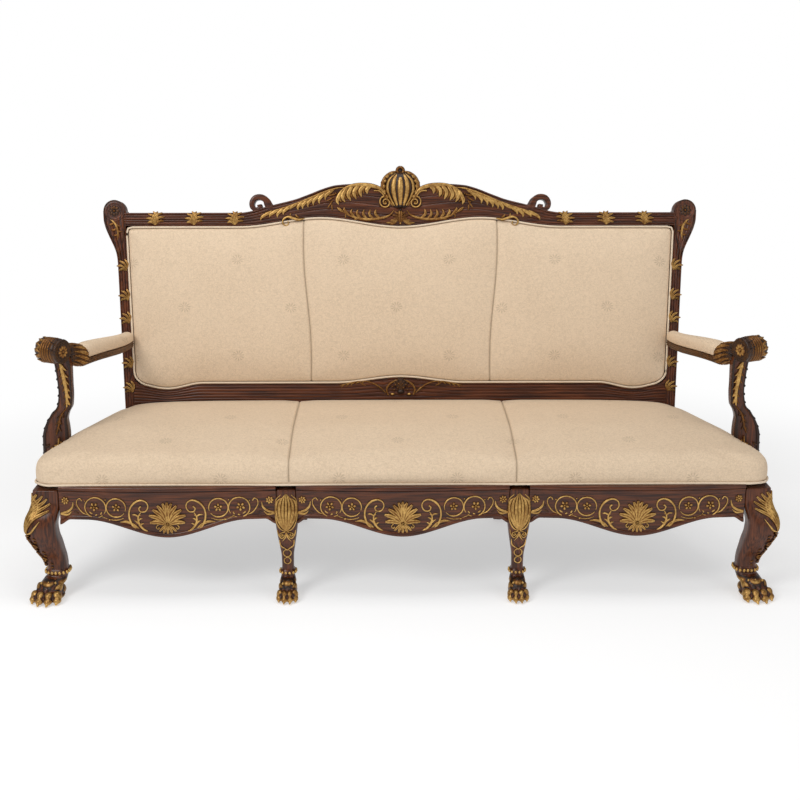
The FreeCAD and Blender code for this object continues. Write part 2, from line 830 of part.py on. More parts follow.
def seat_section(y, share, height_scale, inset, lean):
    half = side_x(max(y, side_front_y)) - inset
    low = seat_base
    tall = seat_profile_height(share) * height_scale - inset
    side_tall = seat_side_height * height_scale - inset
    seam = seat_seam_front_x + (seat_seam_rear_x - seat_seam_front_x) * share
    z = low + tall
    shoulder = half - 46.0
    shoulder_z = low + side_tall + 0.62 * (tall - side_tall)
    dip_z = z - seam_depth * height_scale
    middle_x = (shoulder + seam) / 2 + 60.0
    middle_z = z - 0.18 * (z - shoulder_z)
    side_z = low + 0.52 * side_tall + 6.0

    def at(x, height):
        return Vector(x, y + lean * (height - low), height)

    return Part.Wire(
        [
            line(at(-half + 5.0, low), at(half - 5.0, low)),
            arc(at(half - 5.0, low), at(half + 1.5, side_z), at(shoulder, shoulder_z)),
            arc(at(shoulder, shoulder_z), at(middle_x, middle_z), at(seam, dip_z)),
            arc(at(seam, dip_z), at(0.0, z), at(-seam, dip_z)),
            arc(at(-seam, dip_z), at(-middle_x, middle_z), at(-shoulder, shoulder_z)),
            arc(at(-shoulder, shoulder_z), at(-half - 1.5, side_z), at(-half + 5.0, low)),
        ]
    )


def make_seat_pad(inset):
    rear = back_y(seat_base) - 1.0 - inset
    rake = math.tan(math.radians(back_rake))
    rows = [
        (2.0 + inset, 0.0, 0.55, 0.0),
        (14.0 + inset, 0.02, 0.86, 0.0),
        (44.0, 0.08, 1.0, 0.0),
        (120.0, 0.22, 1.0, 0.0),
        (240.0, 0.45, 1.0, 0.2 * rake),
        (400.0, 0.74, 1.0, 0.7 * rake),
        (rear - 30.0, 0.95, 1.0, rake),
        (rear, 1.0, 0.94, rake),
    ]
    loops = [seat_section(y, share, scale, inset, lean) for y, share, scale, lean in rows]
    return Part.makeLoft(loops, True, False)


def support_notch():
    x = side_x(support_foot_y)
    half = support_foot_width / 2 + 3.0
    deep = support_depth / 2 + 5.0
    return box(x - half, x + 2 * half, support_foot_y - deep, support_foot_y + deep, rail_top - 60.0, rail_top + 400.0)


# The back pad: three sewn panels, shaped by upright sections along the sofa.
def pad_foot(x, margin):
    # The pad's lower edge, with its rounded corners
    corner = field_corner - margin
    corner_x = stile_inner(field_foot_height + field_corner) - margin - corner
    over = min(abs(x) - corner_x, corner)
    if over <= 0.0:
        return field_foot(x) + margin
    return field_foot(corner_x) + margin + corner - math.sqrt(corner ** 2 - over ** 2)


def back_section(x, crown, inset):
    margin = piping_size + pad_gap + inset
    top = field_top(x) - margin
    foot = pad_foot(x, margin)
    rear = frame_depth - lip_depth - web_thick * 2 - fit_gap
    edge = -back_edge_proud + inset
    bulge = edge - crown
    middle = (top + foot) / 2
    # The ends lean outward with the stiles, and the middle stands upright
    spread = (back_half_top - back_half_foot) / ear_neck_height * x / stile_inner(field_foot_height)

    def at(depth, height):
        return Vector(x + spread * (height - field_foot_height - field_corner), depth, height)

    return Part.Wire(
        [
            line(at(rear, foot), at(rear, top)),
            line(at(rear, top), at(edge, top)),
            arc(at(edge, top), at(bulge, middle), at(edge, foot)),
            line(at(edge, foot), at(rear, foot)),
        ]
    )


def make_back_pad(inset):
    margin = piping_size + pad_gap + inset
    end = stile_inner(field_foot_height + field_corner) - margin
    corner = field_corner - margin
    seam = (back_seam_top_x + back_seam_foot_x) / 2
    stations = [
        (end, 1.0),
        (end - 0.12 * corner, 0.12 * back_crown),
        (end - 0.5 * corner, 0.3 * back_crown),
        (end - corner, 0.5 * back_crown),
        (end - 3.0 * corner, 0.85 * back_crown),
        (0.65 * end + 0.35 * seam, 0.95 * back_crown),
        ((end + seam) / 2, back_crown),
        (0.25 * end + 0.75 * seam, 0.95 * back_crown),
        (seam + 60.0, 0.85 * back_crown),
        (seam + 12.0, 0.55 * back_crown + seam_depth / 2),
        (seam, 0.55 * back_crown - seam_depth / 2),
        (seam - 12.0, 0.55 * back_crown + seam_depth / 2),
        (seam - 60.0, 0.85 * back_crown),
        (seam / 2, 0.95 * back_crown),
        (seam / 4, back_crown),
        (0.0, back_crown),
    ]
    mirrored_stations = [(-x, c) for x, c in reversed(stations[:-1])]
    loops = [back_section(x, max(c, 1.0), inset) for x, c in stations + mirrored_stations]
    return Part.makeLoft(loops, True, False)


def make_ring(outline_out, outline_in, thick):
    outer = plate(outline_out, Vector(0, thick, 0))
    inner = plate(outline_in, Vector(0, thick, 0))
    return outer.cut(inner)


def make_seat_piping():
    # A sewn cord that follows the front and sides of the seat along the rail's top edge.
    low = rail_top
    high = rail_top + 2 * web_thick
    half = seat_width / 2
    rear_y = seat_depth - 14.0
    outer = [
        Vector(-side_x(rear_y) - 1.0, rear_y, low),
        Vector(-half, side_front_y, low),
        Vector(-half, 0, low),
        Vector(half, 0, low),
        Vector(half, side_front_y, low),
        Vector(side_x(rear_y) + 1.0, rear_y, low),
    ]
    t = piping_size
    inner = [
        Vector(side_x(rear_y) + 1.0 - t, rear_y, low),
        Vector(half - t, side_front_y, low),
        Vector(half - t, t, low),
        Vector(-half + t, t, low),
        Vector(-half + t, side_front_y, low),
        Vector(-side_x(rear_y) - 1.0 + t, rear_y, low),
    ]
    cord = plate(chain(outer + inner + [outer[0]]), Vector(0, 0, high - low))
    notch = support_notch()
    return cord.cut(notch).cut(mirrored(notch))


def web_places(length, width, gap):
    count = int(length // (width + gap))
    pitch = length / count
    return [-length / 2 + pitch * (i + 0.5) for i in range(count)]


def make_seat_webbing():
    straps = []
    low = rail_top
    y0 = rail_thick - 18.0
    y1 = rear_rail_rear - 6.0
    inner_half = side_x(y1) - rail_thick - 10.0
    for x in web_places(2 * inner_half, web_width, web_gap):
        straps.append(box(x - web_width / 2, x + web_width / 2, y0, y1, low, low + web_thick))
    depth = y1 - side_front_y - 2 * web_gap
    for place in web_places(depth, web_width, web_gap):
        y = place + (y1 + side_front_y) / 2
        far = side_x(y + web_width / 2) - piping_size - 6.0
        straps.append(box(-far, far, y - web_width / 2, y + web_width / 2, low + web_thick, low + 2 * web_thick))
    return Part.makeCompound(straps)


def make_back_webbing():
    straps = []
    rear = frame_depth - lip_depth
    half = stile_inner(field_foot_height) - 4.0
    for x in web_places(2 * half - 30.0, web_width, 2 * web_gap):
        low = field_foot(x) + 5.0
        high = field_top(x) - 5.0
        straps.append(box(x - web_width / 2, x + web_width / 2, rear - web_thick, rear, low, high))
    span = field_top_height - field_foot_height - 2 * field_corner
    for z in web_places(span, web_width, 2 * web_gap):
        at = z + (field_top_height + field_foot_height) / 2
        straps.append(
            box(-half, half, rear - 2 * web_thick, rear - web_thick, at - web_width / 2, at + web_width / 2)
        )
    return on_back(Part.makeCompound(straps))


def make_corner_block(x, y, turn_x, turn_y):
    # A three-sided glue block in a corner of the rails.
    a = Vector(x, y, block_foot)
    b = Vector(x + turn_x * block_leg, y, block_foot)
    c = Vector(x, y + turn_y * block_leg, block_foot)
    return plate(chain([a, b, c, a]), Vector(0, 0, block_height))


def make_screw(head_at, direction, length):
    head = Part.makeCylinder(screw_head_radius, screw_head_thick, head_at, direction)
    shank = Part.makeCylinder(screw_radius, length, head_at, direction)
    return head.fuse(shank).removeSplitter()


# A rosette of round petals about a boss, lying in an upright plane with its back on it.
def make_rosette(radius):
    petals = []
    for index in range(rosette_petals):
        angle = 2 * math.pi * index / rosette_petals
        at = Vector(0.62 * radius * math.cos(angle), 0, 0.62 * radius * math.sin(angle))
        petals.append(Part.makeSphere(0.3 * radius, at))
    boss = Part.makeSphere(0.34 * radius, Vector(0, 0, 0))
    disc = Part.makeCylinder(0.9 * radius, 1.5, Vector(0, 0, 0), Vector(0, -1, 0))
    behind = box(-2 * radius, 2 * radius, 0, 2 * radius, -2 * radius, 2 * radius)
    return fused([disc, boss] + petals).cut(behind)


# Seat frame pieces
layout = bays()
aprons = {}
for bay, (middle, half) in layout.items():
    aprons[bay] = make_apron(middle, half)
tenon_y = rail_thick / 2 + 2.0
outer_face = outer_leg_x - outer_block / 2
inner_faces = (inner_leg_x - inner_block / 2, inner_leg_x + inner_block / 2)


def apron_tenons(extra=0.0):
    return {
        "centre": rail_tenon(inner_faces[0] - 1.0, inner_faces[0] + tenon_length, tenon_y, extra),
        "side_inner": rail_tenon(inner_faces[1] - tenon_length, inner_faces[1] + 1.0, tenon_y, extra),
        "side_outer": rail_tenon(outer_face - 1.0, outer_face + tenon_length, tenon_y, extra),
    }


tenons = apron_tenons()
mortises = apron_tenons(tenon_clearance)
centre_tenons = [tenons["centre"], mirrored(tenons["centre"])]
keep("apron_centre", fused([aprons["centre"]] + centre_tenons))
keep_pair("apron", fused([aprons["right"], tenons["side_inner"], tenons["side_outer"]]))

outer_leg = make_leg(
    outer_leg_x,
    outer_leg_y,
    outer_block,
    outer_knee,
    outer_knee_height,
    outer_knee_reach,
    outer_knee_reach,
    outer_ankle,
    outer_paw_width,
    outer_paw_length,
    toe_radius + 2.0,
)
inner_leg = make_leg(
    inner_leg_x,
    inner_leg_y,
    inner_block,
    inner_knee,
    inner_knee_height,
    0.0,
    inner_knee_reach,
    inner_ankle,
    inner_paw_width,
    inner_paw_length,
    toe_radius - 3.0,
)
apron_solids = [aprons["centre"], aprons["right"]]
outer_leg = outer_leg.cut(mortises["side_outer"]).cut(side_tenon(tenon_clearance)).cut(aprons["right"])
inner_leg = inner_leg.cut([mortises["centre"], mortises["side_inner"]] + apron_solids)
keep_pair("front_leg_outer", outer_leg)
keep_pair("front_leg_inner", inner_leg)

post = make_post()
side_rail = make_side_rail().fuse(side_tenon()).removeSplitter()
side_rail = side_rail.cut(post).cut(outer_leg)
support = make_support().cut(side_rail)

rear_low = rail_top - rear_rail_height
rear_end = stile_inner(-100.0) + 6.0
rear_rail = box(-rear_end, rear_end, rear_rail_front, rear_rail_rear, rear_low, rail_top)
rear_rail = rear_rail.cut([post, mirrored(post), side_rail, mirrored(side_rail)])
keep("rear_seat_rail", rear_rail)
keep_pair("side_rail", side_rail)

rear_leg_top = rail_top - 6.0
rear_inner = make_rear_leg(inner_leg_x, rear_leg_top, rear_rail_rear + 15.0, 30.0).cut(
    box(0, seat_width, 0, rear_rail_rear, 0, rail_top)
)
keep_pair("rear_leg_inner", rear_inner)

brace_top = rail_top - 26.0
brace = box(
    inner_leg_x - brace_width / 2,
    inner_leg_x + brace_width / 2,
    inner_leg_y + inner_block / 2,
    rear_rail_front,
    block_foot,
    brace_top,
).cut(inner_leg)
keep_pair("seat_brace", brace)

# Back frame pieces
posts = [post, mirrored(post)]
crest_tongues = [on_back(crest_tenon()), on_back(mirrored(crest_tenon()))]
crest_solid = fused([on_back(make_crest_rail()).cut(posts)] + crest_tongues)
lower_tongues = [on_back(lower_tenon()), on_back(mirrored(lower_tenon()))]
lower_solid = fused([on_back(make_lower_rail()).cut(posts)] + lower_tongues)
upright_slot = upright_tongue(upright_x, tenon_clearance)
upright_slots = on_back(Part.makeCompound([upright_slot, mirrored(upright_slot)]))
crest_solid = crest_solid.cut(upright_slots)
lower_solid = lower_solid.cut(upright_slots)
keep("crest_rail", crest_solid)
keep("back_lower_rail", lower_solid)
upright_solid = on_back(upright(upright_x).fuse(upright_tongue(upright_x)))
upright_solid = upright_solid.cut([crest_solid, lower_solid])
keep_pair("back_upright", upright_solid)

arm = make_arm()
post = post.cut([on_back(crest_tenon(tenon_clearance)), on_back(lower_tenon(tenon_clearance))])
arm = arm.cut(post).fuse(arm_tenon()).removeSplitter()
post = post.cut(arm_tenon(tenon_clearance))
support = support.cut(arm)
keep_pair("rear_post", post)
keep_pair("arm", arm)
keep_pair("arm_support", support)

# Corner blocks and screws
blocks = []
screws = []
rear_inside_x = post_leg_x() - rear_leg_width / 2 - fit_gap
inside_corners = [
    (outer_face, rail_thick, -1, 1),
    (inner_faces[0], rail_thick, -1, 1),
    (inner_faces[1], rail_thick, 1, 1),
    (rear_inside_x, rear_rail_front, -1, -1),
]
block_middle = block_foot + block_height / 2
for x, y, sx, sy in inside_corners:
    at = Vector(x + sx * 0.42 * block_leg, y + sy * 0.42 * block_leg, block_middle)
    screws.append(make_screw(at, Vector(0, -sy, 0), 0.42 * block_leg + rail_thick / 3))
    blocks.append(make_corner_block(x, y, sx, sy).cut([inner_leg, outer_leg, screws[-1]]))
keep("corner_blocks", Part.makeCompound(blocks + [mirrored(b) for b in blocks]))

all_screws = screws + [mirrored(s) for s in screws]
keep("corner_block_screws", Part.makeCompound(all_screws))
for name in ("apron_centre", "apron_right", "apron_left", "rear_seat_rail"):
    keep(name, nodes[name].cut(all_screws))

support_x = side_x(support_foot_y) - rail_thick
arm_screws = []
for lift in (-30.0, -14.0):
    head = Vector(support_x - screw_head_thick, support_foot_y, rail_top - bead_height + lift)
    arm_screws.append(make_screw(head, Vector(1, 0, 0), rail_thick + 16.0))
keep("arm_screws", Part.makeCompound(arm_screws + [mirrored(s) for s in arm_screws]))
keep_pair("side_rail", side_rail.cut(arm_screws))
keep_pair("arm_support", support.cut(arm_screws))

# Glides
glides = []
glides.append(leg_glide(outer_leg_x + 0.3 * outer_knee_reach, outer_leg_y - paw_reach * outer_paw_length))
glides.append(leg_glide(inner_leg_x, inner_leg_y - paw_reach * inner_paw_length))
for x in (post_leg_x(), inner_leg_x):
    y, size = rear_leg_section(glide_height, rear_leg_sweep)
    glides.append(leg_glide(x, y))
keep("floor_glides", Part.makeCompound(glides + [mirrored(g) for g in glides]))

# Upholstery pieces
notch = support_notch()
notches = [notch, mirrored(notch)]
seat_whole = make_seat_pad(0.0)
seat_inner = make_seat_pad(cover_thick)
below_pad = box(-seat_width, seat_width, -100, seat_depth + 100, rail_top - 50, seat_base)
seat_inner = seat_inner.cut(below_pad)
keep("seat_stuffing", seat_inner.cut(notches))
keep("seat_cover", seat_whole.cut(seat_inner).cut(notches))
keep("seat_webbing", make_seat_webbing().cut(notches))
keep("seat_piping", make_seat_piping())

back_whole = make_back_pad(0.0)
back_inner = make_back_pad(cover_thick)
keep("back_stuffing", on_back(back_inner))
keep("back_cover", on_back(back_whole.cut(back_inner)))
keep("back_webbing", make_back_webbing())
pipe_front = -piping_size + piping_sunk
pipe_outer = field_outline(-fit_gap, pipe_front)
pipe_inner = field_outline(-fit_gap - piping_size, pipe_front)
pipe_ring = make_ring(pipe_outer, pipe_inner, piping_size)
keep("back_piping", on_back(pipe_ring))
keep_pair("arm_pad", make_arm_pad().cut(post))

dust_z = block_foot - dust_cover_thick
dust_half = [
    Vector(outer_face, rail_thick, dust_z),
    Vector(outer_face, side_front_y, dust_z),
    Vector(side_x(side_front_y) - rail_thick, side_front_y, dust_z),
    Vector(side_x(post_front_foot) - rail_thick, post_front_foot, dust_z),
    Vector(rear_inside_x, post_front_foot, dust_z),
    Vector(rear_inside_x, rear_rail_front, dust_z),
]
dust_plan = dust_half + [Vector(-p.x, p.y, p.z) for p in reversed(dust_half)]
dust = plate(chain(dust_plan + [dust_plan[0]]), Vector(0, 0, dust_cover_thick))
leg_room = box(
    inner_leg_x - inner_knee / 2 - fit_gap,
    inner_leg_x + inner_knee / 2 + fit_gap,
    0,
    inner_leg_y + inner_knee / 2,
    dust_z - 1.0,
    dust_z + 2.0,
)
dust = dust.cut([leg_room, mirrored(leg_room)])
keep("dust_cover", dust)
tacks = []
for x in (inner_leg_x, -inner_leg_x):
    y = inner_leg_y + inner_block
    while y < rear_rail_front - 20.0:
        at = Vector(x, y, block_foot - dust_cover_thick - tack_thick)
        tacks.append(Part.makeCylinder(tack_radius, tack_thick, at))
        y = y + tack_pitch
keep("dust_cover_tacks", Part.makeCompound(tacks))

outside = on_back(field_plate(outside_cover_lap, frame_depth, outside_cover_thick))
keep("outside_back_cover", outside)
gimp = make_ring(
    field_outline(outside_cover_lap, frame_depth + outside_cover_thick),
    field_outline(outside_cover_lap - gimp_width, frame_depth + outside_cover_thick),
    gimp_thick,
)
keep("outside_back_gimp", on_back(gimp))

# Carved ornaments
shell_foot = Vector(0, 0, shell_foot_height)
shell = scallop(shell_foot, shell_foot_half, shell_width, shell_height, shell_lobes, 52.0, shell_thick, frame_depth / 2)
knob = Part.makeSphere(shell_knob_radius, Vector(0, 0, shell_foot_height + shell_height + 0.4 * shell_knob_radius))
crest_shell = on_back(shell.fuse(knob)).cut(crest_solid)
keep("crest_shell", crest_shell)

leaf_start = Vector(crest_inner_volute_x + 20.0, 0, crest_inner_volute_height + 14.0)
leaf_end = Vector(crest_inner_volute_x + crest_leaf_length, 0, crest_inner_volute_height + 52.0)
leaf_middle = Vector((leaf_start.x + leaf_end.x) / 2, 0, leaf_end.z + 6.0)
leaf_low = leaf_middle + Vector(0, 0, -crest_leaf_width)
leaf_edges = [arc(leaf_start, leaf_middle, leaf_end), arc(leaf_end, leaf_low, leaf_start)]
leaf = plate(leaf_edges, Vector(0, -crest_leaf_thick, 0))
inner_volute = Part.makeCylinder(
    crest_inner_volute_radius,
    crest_leaf_thick + 4.0,
    Vector(crest_inner_volute_x, 0, crest_inner_volute_height),
    Vector(0, -1, 0),
)
crest_scroll = on_back(leaf.fuse(inner_volute).removeSplitter()).cut([crest_shell, crest_solid])
keep_pair("crest_scroll", crest_scroll)

cartouche_foot = Vector(0, 0, 4.0)
cartouche = scallop(
    cartouche_foot,
    cartouche_foot_half,
    cartouche_width,
    cartouche_height,
    cartouche_lobes,
    70.0,
    cartouche_thick,
)
keep("lower_rail_cartouche", on_back(cartouche))

palmette_foot = Vector(0, -bay_bulge, palmette_foot_height)
palmette = scallop(
    palmette_foot,
    palmette_foot_half,
    palmette_width,
    palmette_height,
    palmette_lobes,
    80.0,
    palmette_thick,
    rail_thick / 4,
)
side_palmette = palmette.translated(Vector(layout["right"][0], 0, 0)).cut(nodes["apron_right"])
palmettes = [palmette.cut(nodes["apron_centre"]), side_palmette, mirrored(side_palmette)]
keep("apron_shells", Part.makeCompound(palmettes))

knee_shell = scallop(
    Vector(0, 0, 0),
    knee_shell_foot_half,
    knee_shell_width,
    knee_shell_height,
    shell_lobes,
    50.0,
    knee_shell_thick,
    outer_knee / 5,
)
knee_shell = knee_shell.rotated(Vector(0, 0, 0), Vector(1, 0, 0), -knee_shell_lean)
knee_shell = knee_shell.rotated(Vector(0, 0, 0), Vector(0, 0, 1), 45.0)
knee_out = (outer_block / 2 + outer_knee_reach) * math.sqrt(0.5) * knee_shell_seat
knee_at = Vector(outer_leg_x + knee_out, outer_leg_y - knee_out, rail_top - bead_height - knee_shell_height - 2.0)
keep("knee_shells", with_mirror(knee_shell.translated(knee_at).cut(outer_leg)))

bud = scallop(Vector(0, 0, 0), bud_foot_half, bud_width, bud_height, bud_lobes, 30.0, bud_thick, inner_block / 4)
bud = bud.rotated(Vector(0, 0, 0), Vector(1, 0, 0), -bud_lean)
bud_at = Vector(inner_leg_x, inner_leg_y - inner_knee / 2 - 6.0, rail_top - bead_height - bud_height)
keep("leg_buds", with_mirror(bud.translated(bud_at).cut(inner_leg)))

ear_rosette = make_rosette(ear_rosette_radius).translated(Vector(ear_x, -ear_proud, ear_height))
keep("ear_rosettes", with_mirror(on_back(ear_rosette)))
arm_rosette = make_rosette(arm_rosette_radius).rotated(Vector(0, 0, 0), Vector(0, 0, 1), -(90.0 - arm_roll_turn))
cap_at = Vector(arm_roll_x, arm_roll_y, arm_roll_height) + roll_axis * (arm_roll_length / 2)
keep("arm_rosettes", with_mirror(arm_rosette.translated(cap_at)))

# The sofa is centred on its footprint and written out.
outer_pieces = ("front_leg_outer_right", "front_leg_inner_right", "rear_post_right", "crest_rail")
limits = [nodes[name].optimalBoundingBox() for name in outer_pieces]
centre_y = (min(b.YMin for b in limits) + max(b.YMax for b in limits)) / 2
os.makedirs("parts", exist_ok=True)
for name, shape in nodes.items():
    shape.translated(Vector(0, -centre_y, 0)).exportStep("parts/" + name + ".step")
print("nodes", len(nodes), "rail face at Y", round(-centre_y, 2))
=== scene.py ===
import json
import math

import bmesh
import bpy
import numpy as np
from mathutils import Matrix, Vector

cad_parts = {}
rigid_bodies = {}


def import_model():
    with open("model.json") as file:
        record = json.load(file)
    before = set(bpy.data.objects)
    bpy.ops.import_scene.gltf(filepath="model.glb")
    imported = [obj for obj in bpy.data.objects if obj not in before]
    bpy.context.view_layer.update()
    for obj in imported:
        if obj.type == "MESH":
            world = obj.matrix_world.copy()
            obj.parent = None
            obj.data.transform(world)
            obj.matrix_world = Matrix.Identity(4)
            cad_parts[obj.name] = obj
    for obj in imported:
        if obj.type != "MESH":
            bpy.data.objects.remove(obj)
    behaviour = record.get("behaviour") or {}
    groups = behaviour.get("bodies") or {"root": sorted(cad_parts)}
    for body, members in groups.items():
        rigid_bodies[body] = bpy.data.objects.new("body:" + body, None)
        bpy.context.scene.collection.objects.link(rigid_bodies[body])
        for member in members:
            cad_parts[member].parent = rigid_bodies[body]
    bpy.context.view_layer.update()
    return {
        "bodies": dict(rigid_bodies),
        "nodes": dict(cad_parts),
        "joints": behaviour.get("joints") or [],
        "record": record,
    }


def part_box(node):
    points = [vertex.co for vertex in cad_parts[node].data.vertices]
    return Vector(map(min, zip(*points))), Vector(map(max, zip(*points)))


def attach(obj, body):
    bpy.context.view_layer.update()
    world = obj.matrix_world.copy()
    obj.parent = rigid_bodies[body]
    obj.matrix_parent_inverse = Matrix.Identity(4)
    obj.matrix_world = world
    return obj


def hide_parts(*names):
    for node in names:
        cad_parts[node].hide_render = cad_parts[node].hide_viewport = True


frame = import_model()

# Sizes are in millimetres, with the front rail's face at Y 0, and become metres in the row frame.
BULGE = 14.0
BEAD = 6.0
RAIL_TOP = 336.0
RAIL_THICK = 32.0
SEAT_DEPTH = 540.0
BACK_FOOT = 450.0
RAKE = math.radians(11.1)
FRAME_DEPTH = 45.0
OUTER_LEG = (998.0, 34.0)
INNER_LEG = (327.0, 25.5)
CENTRE_HALF = 298.5
SIDE_MIDDLE = 658.25
SIDE_HALF = 302.75
FACE_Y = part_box("apron_centre")[0][1] * 1000.0 + BULGE + BEAD


def rows(points):
    moved = np.array(points, float)
    moved[..., 1] += FACE_Y
    return moved / 1000.0


def smooth(t):
    t = np.clip(t, 0.0, 1.0)
    return t * t * (3.0 - 2.0 * t)


def bump(x, centre, half):
    return smooth(1.0 - np.abs(x - centre) / half)


def through(xs, ys, x):
    # A smooth curve through the given points that doesn't overshoot them.
    xs = np.asarray(xs, float)
    ys = np.asarray(ys, float)
    h = np.diff(xs)
    slope = np.diff(ys) / h
    m = np.zeros(len(xs))
    m[0] = slope[0]
    m[-1] = slope[-1]
    for i in range(1, len(xs) - 1):
        if slope[i - 1] * slope[i] > 0:
            w1 = 2 * h[i] + h[i - 1]
            w2 = h[i] + 2 * h[i - 1]
            m[i] = (w1 + w2) / (w1 / slope[i - 1] + w2 / slope[i])
    x = np.clip(x, xs[0], xs[-1])
    k = np.clip(np.searchsorted(xs, x, side="right") - 1, 0, len(h) - 1)
    t = (x - xs[k]) / h[k]
    a = (1 + 2 * t) * (1 - t) ** 2 * ys[k] + t * (1 - t) ** 2 * h[k] * m[k]
    return a + t * t * (3 - 2 * t) * ys[k + 1] + t * t * (t - 1) * h[k] * m[k + 1]


def spline(points, step):
    # A smooth line through the points, sampled evenly along its length.
    points = np.asarray(points, float)
    if len(points) == 2:
        dense = np.linspace(points[0], points[1], 30)
    else:
        ends = [2 * points[0] - points[1]] + list(points) + [2 * points[-1] - points[-2]]
        dense = []
        for a, b, c, d in zip(ends, ends[1:], ends[2:], ends[3:]):
            t = np.linspace(0, 1, 16, endpoint=False)[:, None]
            dense.append(
                0.5 * (
                    (
                        2 * b + (c - a) * t + (2 * a - 5 * b + 4 * c - d) * t**2
                        + (3 * b - a - 3 * c + d) * t**3
                    )
                )
            )
        dense = np.vstack(dense + [points[-1:]])
    run = np.concatenate([[0], np.cumsum(np.linalg.norm(np.diff(dense, axis=0), axis=1))])
    count = max(6, int(run[-1] / step) + 1)
    at = np.linspace(0, run[-1], count)
    return np.stack([np.interp(at, run, dense[:, i]) for i in range(dense.shape[1])], -1)


def unit(vectors):
    return vectors / (np.linalg.norm(vectors, axis=1)[:, None] + 1e-9)


def circle(count):
    # Evenly spaced angles, once round
    return np.linspace(0, 2 * math.pi, count, endpoint=False)


def handed(sign, points):
    # Points drawn for the +X side, taken to the side that the sign names
    return [(sign * u, v) for u, v in points]


def point_loop(loop):
    # A loop drawn together to its middle, which closes the end of a tube
    return np.repeat(loop.mean(0)[None], len(loop), 0)


def capped(loops):
    return [point_loop(loops[0])] + loops + [point_loop(loops[-1])]


class Form:
    # Grids of points gathered into one mesh, with a gilding value at each point; the value is low in hollows,
    # so it also carries painted crevice shade
    def __init__(self):
        self.points = []
        self.quads = []
        self.gilt = []
        self.count = 0

    def grid(self, points, gilt=0.0, wrap=False):
        points = np.asarray(points, float)
        n, m = points.shape[:2]
        self.points.append(points.reshape(-1, 3))
        self.gilt.append(np.broadcast_to(gilt, (n, m)).reshape(-1))
        i = np.arange(n - 1)[:, None]
        j = np.arange(m if wrap else m - 1)[None, :]
        a = self.count + i * m + j
        b = self.count + i * m + (j + 1) % m
        self.quads.append(np.stack([a, b, b + m, a + m], -1).reshape(-1, 4))
        self.count += n * m

    def add(self, other, change=None):
        for points in other.points:
            self.points.append(points if change is None else change(points))
        for quads in other.quads:
            self.quads.append(quads + self.count)
        self.gilt += other.gilt
        self.count += other.count

    def flipped(self):
        # The same form on the other side of the sofa
        copy = Form()
        copy.add(self, lambda p: p * np.array([-1.0, 1.0, 1.0]))
        return copy

    def mirror(self):
        self.add(self.flipped())

    def mesh(self, name):
        mesh = bpy.data.meshes.new(name)
        points = rows(np.concatenate(self.points))
        quads = np.concatenate(self.quads)
        mesh.vertices.add(len(points))
        mesh.vertices.foreach_set("co", points.astype(np.float32).ravel())
        mesh.loops.add(quads.size)
        mesh.loops.foreach_set("vertex_index", quads.astype(np.int32).ravel())
        mesh.polygons.add(len(quads))
        mesh.polygons.foreach_set("loop_start", np.arange(0, quads.size, 4, dtype=np.int32))
        mesh.update(calc_edges=True)
        mesh.validate()
        mesh.polygons.foreach_set("use_smooth", np.ones(len(mesh.polygons), dtype=bool))
        gilt = mesh.attributes.new("gilt", "FLOAT", "POINT")
        gilt.data.foreach_set("value", np.concatenate(self.gilt).astype(np.float32))
        return mesh


def select_only(item):
    for other in bpy.context.selected_objects:
        other.select_set(False)
    item.select_set(True)
    bpy.context.view_layer.objects.active = item


def face_outward(item):
    select_only(item)
    bpy.ops.object.mode_set(mode="EDIT")
    bpy.ops.mesh.select_all(action="SELECT")
    bpy.ops.mesh.normals_make_consistent(inside=False)
    bpy.ops.object.mode_set(mode="OBJECT")


def linked(name, data):
    item = bpy.data.objects.new(name, data)
    bpy.context.scene.collection.objects.link(item)
    return item


def dress(item, nodes):
    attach(item, "root")
    if nodes:
        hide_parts(*nodes)


def place(name, form, material, nodes=(), sharp=38.0):
    item = linked(name, form.mesh(name))
    item.data.materials.append(material)
    face_outward(item)
    if sharp:
        item.data.set_sharp_from_angle(angle=math.radians(sharp))
    dress(item, nodes)


# Carving: raised strokes laid on a chart, which turns (across, up, out) into points of the sofa.
# Strokes and domes start a little below the surface, so that no gap shows under them.
STROKE_SINK = 0.8
DOME_SINK = 0.6


def lerp_list(values, count):
    values = np.atleast_1d(np.asarray(values, float))
    if len(values) == 1:
        return np.full(count, values[0])
    return through(np.linspace(0, 1, len(values)), values, np.linspace(0, 1, count))


def stroke(form, chart, path, width, height, gilt=1.0, groove=0.0, step=2.2):
    line = spline(path, step)
    count = len(line)
    wide = lerp_list(width, count) / 2
    tall = lerp_list(height, count)
    if np.ndim(height) == 0:
        tall = tall * np.minimum(1.0, 0.35 + 0.65 * wide / max(wide.max(), 1e-6))
    tangent = unit(np.gradient(line, axis=0))
    side = np.stack([-tangent[:, 1], tangent[:, 0]], -1)
    angle = np.linspace(0, math.pi, 7)
    across = np.cos(angle)
    lift = np.sin(angle) ** 0.8
    if groove:
        lift = lift * (1.0 - groove * np.exp(-((across / 0.32) ** 2)))
    u = line[:, 0:1] + side[:, 0:1] * wide[:, None] * across
    v = line[:, 1:2] + side[:, 1:2] * wide[:, None] * across
    out = tall[:, None] * lift - STROKE_SINK
    # Gilt is lowest at a stroke's edges and highest on its ridge. The edges take dark glaze, which is partly
    # real glaze and partly painted shade where the stroke meets the ground, and the ridge takes gold that is
    # partly a painted highlight.
    value = gilt * (0.22 + 0.78 * smooth(lift * 1.15))
    form.grid(chart(u, v, out), np.broadcast_to(value, out.shape))


